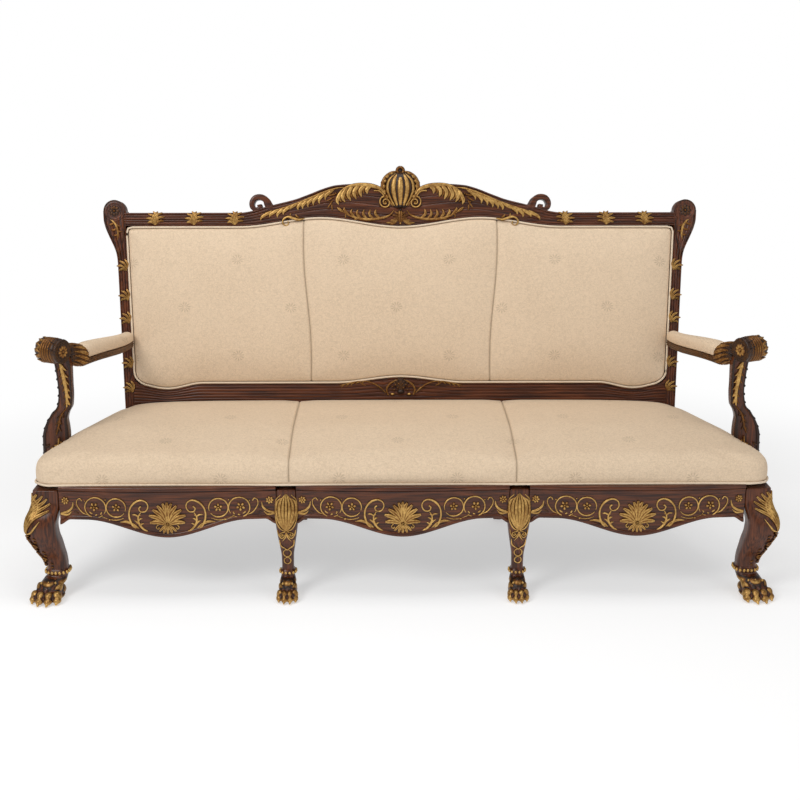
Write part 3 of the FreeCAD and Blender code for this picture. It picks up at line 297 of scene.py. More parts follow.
def dome(form, chart, u, v, radius, height, gilt=1.0, around=12, rings=4, squash=1.0, turn=0.0):
    angle = circle(around)
    rise = np.linspace(0, math.pi / 2, rings + 1)
    r = np.cos(rise)[:, None] * radius
    a = r * np.cos(angle)
    b = r * np.sin(angle) * squash
    x = u + a * math.cos(turn) - b * math.sin(turn)
    y = v + a * math.sin(turn) + b * math.cos(turn)
    out = np.sin(rise)[:, None] * height - DOME_SINK + 0 * a
    # Gilt is lowest at a dome's foot and highest at its top. The dark glaze at the foot is partly real glaze
    # and partly painted shade, and the bright top is partly a painted highlight.
    value = gilt * (0.25 + 0.75 * np.sin(rise)[:, None] + 0 * a)
    form.grid(chart(x, y, out), value, wrap=True)


def flower(form, chart, u, v, radius, petals, height, gilt=1.0, turn=0.0):
    for k in range(petals):
        a = turn + 2 * math.pi * k / petals
        du, dv = 0.58 * radius * math.cos(a), 0.58 * radius * math.sin(a)
        dome(form, chart, u + du, v + dv, 0.45 * radius, height, gilt, 8, 3, 0.72, a)
    dome(form, chart, u, v, 0.26 * radius, height + 1.2, gilt, 8, 3)


def curl(centre, radius, start, turns):
    # Points of a spiral that runs inward from an outer radius to its eye
    eye = 0.18
    t = np.linspace(0, 1, 26)
    a = math.radians(start) + 2 * math.pi * turns * t
    r = radius * (1 - (1 - eye) * t**0.85)
    return np.stack([centre[0] + r * np.cos(a), centre[1] + r * np.sin(a)], -1)


def volute(form, chart, centre, radius, start, turns, width, height, gilt=1.0, lead=(), eye=True):
    path = np.vstack([np.reshape(lead, (-1, 2)), curl(centre, radius, start, turns)])
    stroke(form, chart, path, width, height, gilt)
    if eye:
        dome(form, chart, centre[0], centre[1], 0.24 * radius, height + 1.0, gilt, 10, 3)


def lobes(form, chart, stem, tips, width, height, gilt=1.0, hang=0.35, *, start, end):
    # Leaf fingers that spring from a stem and swing out to their tips
    line = spline(stem, 1.0)
    count = len(tips)
    for k, tip in enumerate(tips):
        share = start + (end - start) * (k / max(1, count - 1))
        root = line[int(share * (len(line) - 1))]
        tip = np.asarray(tip, float)
        ahead = line[min(len(line) - 1, int(share * (len(line) - 1)) + 6)] - root
        ahead = ahead / (np.linalg.norm(ahead) + 1e-9) * np.linalg.norm(tip - root) * hang
        middle = (root + tip) / 2 + ahead * 0.5
        stroke(
            form, chart, [root, middle, tip], np.array([0.55, 1.0, 0.95, 0.15]) * width, height, gilt, 0.25,
        )


def fan(form, chart, foot, tips, width, height, gilt=1.0, bow=0.12):
    # Grooved leaves that spread from one foot, each bowed away from the middle
    foot = np.asarray(foot, float)
    for tip in tips:
        tip = np.asarray(tip, float)
        span = tip - foot
        side = np.array([span[1], -span[0]]) * (bow if span[0] > 0 else -bow)
        if abs(span[0]) < 1.0:
            side = side * 0
        middle = foot + span * 0.55 - side
        stroke(
            form, chart, [foot, middle, tip], np.array([0.3, 0.75, 1.0, 0.95, 0.42]) * width, height, gilt,
            0.45,
        )


# Materials
class Nodes:
    # Adds shader nodes and links them by socket
    def __init__(self, name):
        self.material = bpy.data.materials.new(name)
        self.material.use_nodes = True
        self.tree = self.material.node_tree
        self.shader = self.tree.nodes["Principled BSDF"]

    def put(self, value, socket):
        if isinstance(value, bpy.types.NodeSocket):
            self.tree.links.new(value, socket)
        else:
            socket.default_value = value

    def node(self, kind, settings=(), out=0, **inputs):
        item = self.tree.nodes.new(kind)
        for key, value in dict(settings).items():
            setattr(item, key, value)
        for key, value in inputs.items():
            socket = item.inputs[int(key[1:])] if key[0] == "i" and key[1:].isdigit() else item.inputs[key]
            self.put(value, socket)
        return item.outputs[out]

    def math(self, operation, a, b=0.0, c=0.0):
        return self.node("ShaderNodeMath", {"operation": operation}, i0=a, i1=b, i2=c)

    def plus(self, a, b):
        return self.math("ADD", a, b)

    def times(self, a, b):
        return self.math("MULTIPLY", a, b)

    def ramp(self, value, low, high, to_low=0.0, to_high=1.0):
        settings = {"interpolation_type": "SMOOTHSTEP", "clamp": True}
        return self.node("ShaderNodeMapRange", settings, i0=value, i1=low, i2=high, i3=to_low, i4=to_high)

    def mix(self, share, a, b):
        item = self.tree.nodes.new("ShaderNodeMix")
        item.data_type = "RGBA"
        self.put(share, item.inputs[0])
        self.put(a, item.inputs[6])
        self.put(b, item.inputs[7])
        return item.outputs[2]

    def place(self, scale=(1.0, 1.0, 1.0)):
        at = self.node("ShaderNodeTexCoord", out=3)
        return self.node("ShaderNodeMapping", Vector=at, Scale=scale)

    def noise(self, vector, scale, detail, rough=0.5, distortion=0.0):
        return self.node(
            "ShaderNodeTexNoise", Vector=vector, Scale=scale, Detail=detail, Roughness=rough,
            Distortion=distortion,
        )

    def bump(self, height, strength, distance):
        item = self.tree.nodes.new("ShaderNodeBump")
        self.put(height, item.inputs["Height"])
        item.inputs["Strength"].default_value = strength
        item.inputs["Distance"].default_value = distance
        return item.outputs["Normal"]

    def finish(self, **inputs):
        for key, value in inputs.items():
            self.put(value, self.shader.inputs[key.replace("_", " ")])
        return self.material


def colour(r, g, b):
    # A colour from its 0 to 255 screen values
    return tuple(
        c / 12.92 if c <= 0.04045 else ((c + 0.055) / 1.055) ** 2.4 for c in (r / 255, g / 255, b / 255)
    ) + (1.0,)


def shade(tint, share):
    return tuple(min(1.0, share * c) for c in tint[:3]) + (1.0,)


def carved_wood(name, along):
    # Polished mahogany with gold leaf and dark glaze where the gilt value asks for it. The gilt value falls in
    # the hollows and at the feet of raised work, so the dark glaze there is partly real glaze and partly
    # painted crevice shade, and the brightest gold on the crests is partly a painted highlight.
    n = Nodes(name)
    stretch = {"x": (4.0, 110.0, 110.0), "y": (110.0, 4.0, 110.0), "z": (110.0, 110.0, 4.0)}[along]
    grain = n.noise(n.place(stretch), 1.6, 5.0, 0.62, 0.3)
    cloud = n.noise(n.place(), 9.0, 3.0, 0.55)
    wood = n.mix(n.ramp(grain, 0.32, 0.7), colour(44, 18, 7), colour(108, 56, 26))
    wood = n.mix(n.ramp(cloud, 0.35, 0.7, 0.0, 0.35), wood, colour(58, 25, 11))
    gilt = n.node("ShaderNodeAttribute", {"attribute_name": "gilt"}, out=2)
    fleck = n.noise(n.place(), 160.0, 4.0, 0.62)
    patch = n.noise(n.place(), 34.0, 3.0, 0.5)
    # Real wear noise is added to the gilt value, which is low in the hollows and so also carries painted
    # crevice shade
    wear_and_crevice_shade = n.plus(gilt, n.math("MULTIPLY_ADD", fleck, 0.42, -0.21))
    wear_and_crevice_shade = n.plus(wear_and_crevice_shade, n.math("MULTIPLY_ADD", patch, 0.36, -0.18))
    gold = n.mix(n.ramp(wear_and_crevice_shade, 0.72, 1.15), colour(120, 76, 30), colour(222, 180, 106))
    # Dark glaze where the value is low: real glaze, and painted shade in the hollows
    glaze_and_crevice_shade = n.mix(n.ramp(wear_and_crevice_shade, 0.42, 0.8), colour(38, 19, 9), gold)
    covered = n.ramp(gilt, 0.05, 0.16)
    base = n.mix(covered, wood, glaze_and_crevice_shade)
    shine = n.times(covered, n.ramp(wear_and_crevice_shade, 0.4, 0.75, 0.0, 0.7))
    rough = n.plus(n.times(fleck, 0.22), n.math("MULTIPLY_ADD", covered, 0.1, 0.22))
    relief = n.plus(n.times(grain, 0.35), n.times(fleck, n.math("MULTIPLY_ADD", covered, 0.6, 0.15)))
    return n.finish(
        Base_Color=base, Metallic=shine, Roughness=rough, Normal=n.bump(relief, 0.35, 0.0008),
        Coat_Weight=0.08, Coat_Roughness=0.3, Specular_IOR_Level=0.35,
    )


def plain_wood(name, dark, light):
    n = Nodes(name)
    stretch = (3.0, 50.0, 50.0)
    grain = n.noise(n.place(stretch), 2.0, 6.0, 0.6, 0.8)
    pore = n.noise(n.place(tuple(4.0 * s for s in stretch)), 3.0, 2.0)
    base = n.mix(n.ramp(grain, 0.3, 0.7), dark, light)
    base = n.mix(n.ramp(pore, 0.58, 0.72, 0.0, 0.35), base, shade(dark, 0.5))
    return n.finish(
        Base_Color=base, Roughness=n.ramp(grain, 0.2, 0.8, 0.5, 0.72), Normal=n.bump(pore, 0.25, 0.0006),
    )


# Threads as radians to the metre, and the sprigs' spacing and size in metres
WEAVE = 2400.0
SPRIG_ACROSS = 0.33
SPRIG_UP = 0.17
SPRIG_RADIUS = 0.021


def sprigs(n, x, up):
    # Small woven sprigs in staggered rows, each a burst of rays
    row = n.math("DIVIDE", up, SPRIG_UP)
    stagger = n.times(n.math("MODULO", n.math("FLOOR", row), 2.0), 0.5)
    a = n.times(
        n.math(
            "SUBTRACT", n.math("FRACT", n.plus(n.math("DIVIDE", x, SPRIG_ACROSS), n.plus(stagger, 10.04))),
            0.5,
        ),
        SPRIG_ACROSS,
    )
    b = n.times(n.math("SUBTRACT", n.math("FRACT", row), 0.5), SPRIG_UP)
    away = n.math("SQRT", n.plus(n.times(a, a), n.times(b, b)))
    rays = n.ramp(n.math("SINE", n.times(n.math("ARCTAN2", b, a), 11.0)), -0.1, 0.5)
    inside = n.math("SUBTRACT", 1.0, n.ramp(away, 0.7 * SPRIG_RADIUS, SPRIG_RADIUS))
    return n.times(n.times(rays, inside), n.ramp(away, 0.12 * SPRIG_RADIUS, 0.3 * SPRIG_RADIUS))


def cloth(name, tint, deep, figure, sheen=0.35):
    # Two crossed sets of threads, with a faint self-coloured figure as strong as figure says
    n = Nodes(name)
    at = n.place()
    parts = n.node("ShaderNodeSeparateXYZ", Vector=at)
    x, y, z = parts.node.outputs
    upright = n.plus(n.times(y, 0.83), z)
    across = n.math("SINE", n.times(n.plus(x, n.times(y, 0.31)), WEAVE))
    along = n.math("SINE", n.times(upright, WEAVE))
    threads = n.times(across, along)
    slub = n.noise(n.place((90.0, 320.0, 320.0)), 1.0, 3.0, 0.6)
    tone = n.noise(at, 7.0, 3.0, 0.5)
    base = n.mix(n.ramp(slub, 0.25, 0.75, 0.0, 0.5), tint, deep)
    base = n.mix(n.ramp(tone, 0.3, 0.75, 0.0, 0.22), base, deep)
    height = n.plus(n.times(threads, 0.25), n.times(slub, 0.6))
    seam = n.node("ShaderNodeAttribute", {"attribute_name": "seam"}, out=2)
    if figure:
        swirl = n.node(
            "ShaderNodeTexVoronoi", {"feature": "DISTANCE_TO_EDGE"}, out=0,
            Vector=n.mix(0.12, at, n.node("ShaderNodeTexNoise", out=1, Vector=at, Scale=30.0)), Scale=52.0,
        )
        vein = n.ramp(swirl, 0.02, 0.11)
        fine = n.noise(at, 240.0, 3.0, 0.6, 1.5)
        pattern = n.times(vein, n.ramp(fine, 0.4, 0.62, 0.35, 1.0))
        base = n.mix(n.times(pattern, figure), base, shade(tint, 1.2))
        height = n.plus(height, n.times(pattern, 0.9))
        sprig = sprigs(n, x, upright)
        base = n.mix(n.times(sprig, 0.5), base, shade(deep, 0.72))
        height = n.math("SUBTRACT", height, n.times(sprig, 0.8))
    # Darker along the sewn seams: painted shade in the seam's crease
    base = n.mix(n.times(seam, 0.72), base, shade(deep, 0.3))
    normal = n.bump(height, 0.4, 0.0007)
    return n.finish(
        Base_Color=base, Roughness=0.86, Normal=normal, Sheen_Weight=sheen, Sheen_Roughness=0.45,
        Sheen_Tint=tint, Specular_IOR_Level=0.25,
    )


def plain(name, tint, rough, metal=0.0):
    n = Nodes(name)
    fleck = n.noise(n.place(), 120.0, 4.0, 0.6)
    base = n.mix(n.ramp(fleck, 0.3, 0.7, 0.0, 0.5), tint, shade(tint, 0.72))
    return n.finish(
        Base_Color=base, Roughness=n.ramp(fleck, 0.2, 0.8, rough - 0.08, rough + 0.1), Metallic=metal,
        Normal=n.bump(fleck, 0.2, 0.0004),
    )


WOOD_X = carved_wood("mahogany_x", "x")
WOOD_Y = carved_wood("mahogany_y", "y")
WOOD_Z = carved_wood("mahogany_z", "z")
GOLD = carved_wood("gilded_carving", "x")
DAMASK = cloth("damask", colour(219, 197, 170), colour(199, 174, 145), 0.55)
CORD = cloth("piping_cloth", colour(228, 209, 185), colour(210, 188, 161), 0.0)
LINING = cloth("black_lining", colour(26, 25, 25), colour(16, 16, 16), 0.0, 0.1)
JUTE = cloth("jute_web", colour(150, 118, 76), colour(112, 86, 54), 0.0, 0.1)
WADDING = plain("wadding", colour(226, 216, 194), 0.85)
BEECH = plain_wood("raw_beech", colour(176, 132, 88), colour(206, 166, 118))
STEEL = plain("zinc_steel", colour(150, 150, 152), 0.38, 0.9)
FELT = plain("dark_glide", colour(30, 26, 23), 0.6)


# Seat rails
def bay_face(u, half):
    return -BULGE * (1.0 - (u / half) ** 2)


def apron_foot(u, half):
    bracket = 16.0 * smooth((np.abs(u) - half + 30.0) / 30.0)
    return RAIL_TOP - 97.0 - 51.0 * bump(u, 0.0, 225.0) - bracket


def rail_section(foot):
    # How far forward, and how high, round one section of a rail: bead, hollow, field and raised lower edge
    top = RAIL_TOP
    turn = np.radians(np.linspace(90, -90, 9))
    out = [-RAIL_THICK, -2.0] + list(BEAD * np.cos(turn) ** 0.8) + [2.4, 2.2, 0.8, 0.0]
    up = (
        [top, top] + list(top - 7.0 + 6.8 * np.sin(turn)) + [top - 14.6, top - 17.0, top - 19.0, top - 22.0]
    )
    out += [0.0, 0.0, 1.8, 3.6, 4.4, 4.6, 4.0, 2.6, 0.6, -RAIL_THICK]
    up += [
        foot + 26.0, foot + 13.5, foot + 12.6, foot + 10.4, foot + 7.4, foot + 4.6, foot + 2.2, foot + 0.6,
        foot, foot,
    ]
    return np.array(out), np.array(up)


def apron(form, middle, half):
    loops = []
    for u in np.linspace(-half, half, 120):
        out, up = rail_section(apron_foot(u, half))
        loops.append(np.stack([np.full_like(out, middle + u), bay_face(u, half) - out, up], -1))
        loops[-1][[0, -1], 1] = RAIL_THICK
    form.grid(loops, wrap=True)


def bay_chart(middle, half):
    def chart(u, v, out):
        return np.stack([middle + u, bay_face(u, half) - out, v + 0 * u], -1)

    return chart


def palmette(form, chart, sign):
    # One half of the shell. Its middle leaf belongs to the +X half.
    first = 0 if sign > 0 else 1
    tips = handed(
        sign, ((0, 292.4), (12.5, 289.2), (26.7, 282.5), (40.3, 270.7), (51.2, 253.8), (48.9, 232.7)),
    )
    fan(form, chart, (0.0, 225.6), tips[first:], 15.0, 9.0, bow=0.1)
    under = handed(sign, ((0, 197.5), (12.2, 199.8), (23.9, 206.3)))
    fan(form, chart, (0.0, 227.1), under[first:], 9.0, 6.0, bow=0.06)
    volute(form, chart, (sign * 26.1, 218), 7.5, 90, -0.9 * sign, 3.6, 5.0)
    dome(form, chart, 0.0, 228.6, 6.5, 9.5)


def bay_side(form, chart, sign, end):
    def s(points):
        return handed(sign, points)

    ring = s(
        [
            (86.2, 212.4), (99.5, 227.1), (106.8, 252), (102.9, 275.4), (89, 292.1), (70.9, 298.3),
            (56.7, 291.3), (53.4, 277.8), (61.2, 265.5), (73.4, 264.9), (78.4, 274.3), (72.3, 280.7),
        ]
    )
    stroke(form, chart, ring, [4.2, 7.5, 7.5, 6.0, 6.0, 7.5, 6.5, 5.0, 4.5, 4.5, 4.5, 5.5], 5.5, step=1.6)
    stem = s([(32, 201.6), (50, 203.4), (67.8, 213.3), (79.5, 229.7), (81.7, 248.5), (74.5, 262)])
    stroke(form, chart, stem, [3.0, 5.0, 7.5, 8.5, 6.0, 3.0], 5.0)
    lobes(
        form, chart, stem, s([(66.2, 230.3), (70.1, 244.4), (75.1, 253.8)]), 5.5, 5.0, start=0.55, end=0.9,
    )
    lobes(form, chart, stem, s([(93.4, 238.5), (99, 255.5)]), 5.5, 5.0, start=0.6, end=0.85)
    stroke(
        form, chart, s([(79.5, 212.7), (94.5, 226.2), (114, 235), (134, 233.2)]), [3.0, 8.0, 8.5, 1.6], 5.5,
        groove=0.35,
    )
    stroke(form, chart, s([(79.5, 210.4), (92.9, 212.1), (106.8, 219.2)]), [3.0, 7.0, 2.0], 5.0, groove=0.3)
    for centre, radius, open_at in (((142.9, 275.4), 27.0, 200), ((200.7, 275.4), 29.5, 215)):
        c = (sign * centre[0], centre[1])
        a = np.radians(np.linspace(open_at, open_at - 345, 30))
        loop = [(c[0] + sign * radius * math.cos(t), c[1] + radius * math.sin(t)) for t in a]
        stroke(form, chart, loop, [2.6, 5.0, 4.6, 4.4, 4.6, 5.0, 2.4], 4.6, step=1.8)
    flower(form, chart, sign * 142.3, 276, 13.5, 5, 4.5, turn=0.3)
    flower(form, chart, sign * 204.6, 277.2, 14.5, 5, 4.5, turn=0.9)
    lobes(
        form, chart, s([(180.7, 263.7), (197.4, 254.9), (214.1, 257.9)]),
        s([(186.3, 253.8), (202.9, 251.4), (218.5, 263.7)]), 5.0, 3.8, start=0.1, end=0.9,
    )
    dome(form, chart, sign * 161.8, 240.6, 5.5, 5.0, squash=0.6, turn=-0.4 * sign)
    stroke(
        form, chart, s([(122.3, 244.4), (141.8, 239.1), (164, 241.4), (186.3, 250.2)]),
        [1.6, 3.4, 3.2, 1.4], 3.2,
    )
    for tip in ((117.9, 285.4), (171.8, 298.3), (229.6, 294.8)):
        dome(form, chart, sign * tip[0], tip[1], 3.6, 4.0, squash=0.6, turn=0.9)
    stroke(
        form, chart,
        s([(223.5, 253.2), (238, 260.8), (251.3, 279.5), (252.4, 294.8), (243.5, 301.2), (238, 294.2)]),
        [2.0, 4.6, 4.4, 3.8, 3.6, 4.2], 4.2,
    )
    lobes(
        form, chart, s([(228, 243.2), (247.4, 253.8), (259.7, 278.4)]),
        s([(249.1, 247.3), (263, 262), (265.8, 283.1)]), 5.6, 3.6, 0.55, start=0.2, end=0.85,
    )
    near = end - 3.0
    stroke(
        form, chart,
        [
            (sign * near, 256.4), (sign * (near - 20), 262.8), (sign * (near - 33), 274.8),
            (sign * (near - 37), 290.7),
        ],
        [5.0, 8.5, 7.0, 2.0], 5.0, groove=0.3,
    )
    stroke(
        form, chart, [(sign * near, 254.3), (sign * (near - 20), 253.2), (sign * (near - 31), 262.5)],
        [5.0, 7.0, 2.0], 5.0, groove=0.3,
    )
    flower(form, chart, sign * (end - 17.0), 294.2, 12.5, 7, 4.6)
    dome(form, chart, sign * (end - 17.0), 294.2, 4.0, 5.5)


wood = Form()
apron(wood, 0.0, CENTRE_HALF)
place("apron_centre_wood", wood, WOOD_X, ["apron_centre"])
for side, name in ((1, "right"), (-1, "left")):
    wood = Form()
    apron(wood, side * SIDE_MIDDLE, SIDE_HALF)
    place("apron_" + name + "_wood", wood, WOOD_X, ["apron_" + name])
carving = Form()
for middle, half in ((0.0, CENTRE_HALF), (SIDE_MIDDLE, SIDE_HALF), (-SIDE_MIDDLE, SIDE_HALF)):
    chart = bay_chart(middle, half)
    for sign in (1, -1):
        palmette(carving, chart, sign)
        bay_side(carving, chart, sign, half)
place("apron_scrollwork", carving, GOLD, ["apron_shells"], 0)


# Side rails: plain fields with the same mouldings, and a lighter run of scrolls
SIDE_FRONT = 71.0
SIDE_HALF_WIDTH = 1032.0
SIDE_TAPER = 164.0


def side_x(y):
    # The side rail's outer face, which runs in towards the back
    return (
        SIDE_HALF_WIDTH - SIDE_TAPER * (np.maximum(y, SIDE_FRONT) - SIDE_FRONT) / (SEAT_DEPTH - SIDE_FRONT)
    )


def side_foot(y):
    return RAIL_TOP - 96.0 + 14.0 * (1 - ((y - 290.0) / 220.0) ** 2)


wood = Form()
loops = []
for y in np.linspace(SIDE_FRONT, 520.0, 60):
    out, up = rail_section(side_foot(y))
    loops.append(np.stack([side_x(y) + out, np.full_like(out, y), up], -1))
wood.grid(loops, wrap=True)
place("side_rail_right_wood", wood, WOOD_Y, ["side_rail_right"])
place("side_rail_left_wood", wood.flipped(), WOOD_Y, ["side_rail_left"])


def side_chart(u, v, out):
    # Runs back from the front leg along the rail's outer face
    y = 300.0 + u
    return np.stack([side_x(y) + out, y, v + 0 * u], -1)


carving = Form()
for sign in (1, -1):
    for middle in (10.0, 128.0):
        c = (sign * (middle + 42.0), 290.0)
        volute(
            carving, side_chart, c, 17.0, 180 if sign > 0 else 0, -1.2 * sign, 4.6, 4.5,
            lead=[
                (sign * (middle - 16), 268.0), (sign * (middle + 6), 266.0), (sign * (middle + 20), 276.0),
            ],
        )
        lobes(
            carving, side_chart,
            [(sign * (middle - 16), 268.0), (sign * (middle + 6), 266.0), (sign * (middle + 24), 280.0)],
            [(sign * (middle - 2), 282.0), (sign * (middle + 10), 286.0)], 6.0, 4.0, start=0.3, end=0.7,
        )
fan(carving, side_chart, (0.0, 268.0), [(-26, 286), (-16, 298), (0, 303), (16, 298), (26, 286)], 11.0, 6.0)
dome(carving, side_chart, 0.0, 267.0, 6.0, 7.0)
carving.mirror()
place("side_rail_scrollwork", carving, GOLD, [], 0)


# Front legs: a loft of rounded squares, joined to a paw of knuckled toes
class Leg:
    def __init__(self, x, y, table, front):
        self.x = x
        self.y = y
        self.front = math.radians(front)
        self.table = np.array(table, float)

    def at(self, z):
        z = np.asarray(z, float)
        order = np.argsort(self.table[:, 0])
        rows_up = self.table[order]
        return [through(rows_up[:, 0], rows_up[:, k], z) for k in range(1, 6)]

    def ring(self, z, angle, grow=0.0):
        dx, dy, a, b, n = self.at(z)
        r = (np.abs(np.cos(angle) / a) ** n + np.abs(np.sin(angle) / b) ** n) ** (-1.0 / n) + grow
        return np.stack(
            [self.x + dx + r * np.cos(angle), self.y + dy + r * np.sin(angle), z + 0 * angle], -1,
        )

    def chart(self, u, v, out):
        a, b = self.at(v)[2:4]
        return self.ring(v + 0 * u, self.front + u / (0.5 * (a + b) * 1.08), out)

    def solid(self, form, around=56):
        # From inside the paw up into the rail
        angle = circle(around)
        loops = [self.ring(np.full(around, z), angle) for z in np.linspace(44.0, RAIL_TOP - 13.0, 90)]
        form.grid(capped(loops), wrap=True)


def ball(form, centre, radii, turn=0.0, tilt=0.0, gilt=0.0, around=20, rings=14):
    lat = np.linspace(-math.pi / 2, math.pi / 2, rings)[:, None]
    lon = circle(around)
    x = radii[0] * np.cos(lat) * np.cos(lon)
    y = radii[1] * np.cos(lat) * np.sin(lon)
    z = radii[2] * np.sin(lat) + 0 * lon
    y, z = y * math.cos(tilt) - z * math.sin(tilt), y * math.sin(tilt) + z * math.cos(tilt)
    x, y = x * math.cos(turn) - y * math.sin(turn), x * math.sin(turn) + y * math.cos(turn)
    form.grid(np.stack([centre[0] + x, centre[1] + y, centre[2] + z], -1), gilt, wrap=True)


def paw(form, claws, x, y, wide, deep, turn):
    # Four arched toes round a heel, with the claws as a second form
    c, s = math.cos(turn), math.sin(turn)

    def at(a, b, z):
        return (x + a * c - b * s, y + a * s + b * c, z)

    ball(form, at(0, 0.16 * deep, 22), (0.40 * wide, 0.34 * deep, 20), turn)
    ball(form, at(0, 0.10 * deep, 38), (0.29 * wide, 0.26 * deep, 24), turn)
    ball(form, at(0, 0.0, 12), (0.43 * wide, 0.40 * deep, 9), turn)
    for share in (-1.0, -0.36, 0.36, 1.0):
        lead = 1.0 - 0.30 * share * share
        a = share * 0.335 * wide
        splay = turn - share * 0.42
        ball(form, at(0.72 * a, -0.10 * deep * lead, 30), (0.112 * wide, 0.23 * deep, 13), splay, 0.55)
        ball(form, at(0.98 * a, -0.31 * deep * lead, 21), (0.128 * wide, 0.125 * deep, 15), splay, 0.2)
        ball(form, at(1.06 * a, -0.42 * deep * lead, 12.5), (0.118 * wide, 0.105 * deep, 9.5), splay)
        ball(
            claws, at(1.12 * a, -0.50 * deep * lead, 8.5), (0.045 * wide, 0.08 * deep, 4.6), splay, 0.5,
            1.0, 10, 8,
        )


def collar(form, leg, z, proud, tall):
    angle = circle(48)
    turn = np.radians(np.linspace(-90, 90, 9))
    loops = [
        leg.ring(np.full(48, z + tall / 2 * math.sin(t)), angle, proud * math.cos(t) - 0.6) for t in turn
    ]
    form.grid(loops, wrap=True)


def remeshed(name, form, voxel, rounds, material):
    item = linked(name, form.mesh(name))
    select_only(item)
    remesh = item.modifiers.new("Fuse", "REMESH")
    remesh.mode = "VOXEL"
    remesh.voxel_size = voxel / 1000.0
    remesh.use_smooth_shade = True
    soften = item.modifiers.new("Soften", "SMOOTH")
    soften.factor = 0.5
    soften.iterations = rounds
    bpy.ops.object.modifier_apply(modifier=remesh.name)
    bpy.ops.object.modifier_apply(modifier=soften.name)
    item.data.materials.clear()
    item.data.materials.append(material)
    return item


def vertex_rows(mesh, key):
    values = np.empty(len(mesh.vertices) * 3, np.float32)
    mesh.vertices.foreach_get(key, values)
    return values.reshape(-1, 3)


def coordinates(mesh):
    return vertex_rows(mesh, "co").astype(float)


def relief_values(mesh, rounds):
    # How far each point stands proud of its smoothed surroundings, in millimetres
    count = len(mesh.vertices)
    co = coordinates(mesh) * 1000.0
    normal = vertex_rows(mesh, "normal")
    edges = np.empty(len(mesh.edges) * 2, np.int32)
    mesh.edges.foreach_get("vertices", edges)
    a, b = edges.reshape(-1, 2).T
    degree = np.bincount(a, minlength=count) + np.bincount(b, minlength=count)
    mean = co.copy()
    for _ in range(rounds):
        total = np.stack(
            [np.bincount(a, mean[b, k], count) + np.bincount(b, mean[a, k], count) for k in range(3)], -1,
        )
        mean = total / np.maximum(degree, 1)[:, None]
    return co, np.einsum("ij,ij->i", co - mean, normal)


def set_gilt(mesh, values):
    item = mesh.attributes.get("gilt") or mesh.attributes.new("gilt", "FLOAT", "POINT")
    item.data.foreach_set("value", np.asarray(values, np.float32))


def finish_leg(node, form):
    item = remeshed(node + "_wood", form, voxel=2.4, rounds=3, material=WOOD_Z)
    co, proud = relief_values(item.data, 26)
    low = 1.0 - smooth((co[:, 2] - 50.0) / 14.0)
    # Points sunk below their surroundings get less gilt and so darker glaze, which is painted shade in the
    # paw's crevices along with real glaze. Raised points get brighter gold.
    set_gilt(item.data, low * (0.34 + np.clip(proud / 2.2, -0.3, 0.55)))
    dress(item, [node])


OUTER_TABLE = (
    (336.0, 0.0, 0.0, 37.0, 37.0, 9.0),
    (290.0, 0.0, 0.0, 37.0, 37.0, 9.0),
    (268.0, 4.0, -4.0, 39.0, 39.0, 6.0),
    (240.0, 14.0, -14.0, 42.0, 42.0, 4.2),
    (214.0, 19.0, -19.0, 42.5, 42.5, 3.6),
    (190.0, 16.0, -17.0, 41.0, 41.0, 3.6),
    (164.0, 8.0, -10.0, 38.0, 38.0, 3.8),
    (138.0, 0.0, -3.0, 34.0, 34.0, 4.0),
    (112.0, -9.0, 2.0, 30.0, 29.0, 4.0),
    (88.0, -13.0, 4.0, 28.0, 27.0, 3.4),
    (66.0, -12.0, 2.0, 29.0, 28.0, 2.8),
    (52.0, -6.0, -10.0, 33.0, 34.0, 2.4),
    (40.0, 0.0, -20.0, 36.0, 38.0, 2.3),
)
INNER_TABLE = (
    (336.0, 0.0, 0.0, 28.5, 28.5, 9.0),
    (300.0, 0.0, 0.0, 28.5, 28.5, 8.0),
    (270.0, 0.0, -3.0, 30.0, 30.0, 4.5),
    (240.0, 0.0, -9.0, 33.0, 33.0, 3.4),
    (218.0, 0.0, -10.0, 31.0, 32.0, 3.4),
    (186.0, 0.0, -7.0, 27.0, 27.0, 3.6),
    (150.0, 0.0, -3.0, 21.5, 22.0, 3.6),
    (120.0, 0.0, -1.0, 17.5, 18.5, 3.4),
    (88.0, 0.0, 0.0, 17.0, 17.5, 3.0),
    (66.0, 0.0, -2.0, 18.5, 19.0, 2.6),
    (52.0, 0.0, -9.0, 22.0, 24.0, 2.4),
    (40.0, 0.0, -16.0, 26.0, 28.0, 2.3),
)
beads = Form()
claws = Form()
shells = Form()
buds = Form()
outer = Leg(OUTER_LEG[0], OUTER_LEG[1], OUTER_TABLE, -45.0)
inner = Leg(INNER_LEG[0], INNER_LEG[1], INNER_TABLE, -90.0)
# The paw's place, width, length and turn, and the collar's height, stand-out and thickness
OUTER_PAW = (1003.0, -6.0, 98.0, 122.0, math.radians(8.0))
INNER_PAW = (327.0, -8.0, 66.0, 100.0, 0.0)
OUTER_COLLAR = (74.0, 6.0, 13.0)
INNER_COLLAR = (73.0, 5.0, 12.0)
for side, name in ((1, "right"), (-1, "left")):
    for kind, leg, foot, band in (
        ("outer", outer, OUTER_PAW, OUTER_COLLAR), ("inner", inner, INNER_PAW, INNER_COLLAR),
    ):
        body = Form()
        leg.solid(body)
        paw(body, claws if side > 0 else Form(), *foot)
        collar(body, leg, *band)
        node = "front_leg_" + kind + "_" + name
        finish_leg(node, body if side > 0 else body.flipped())

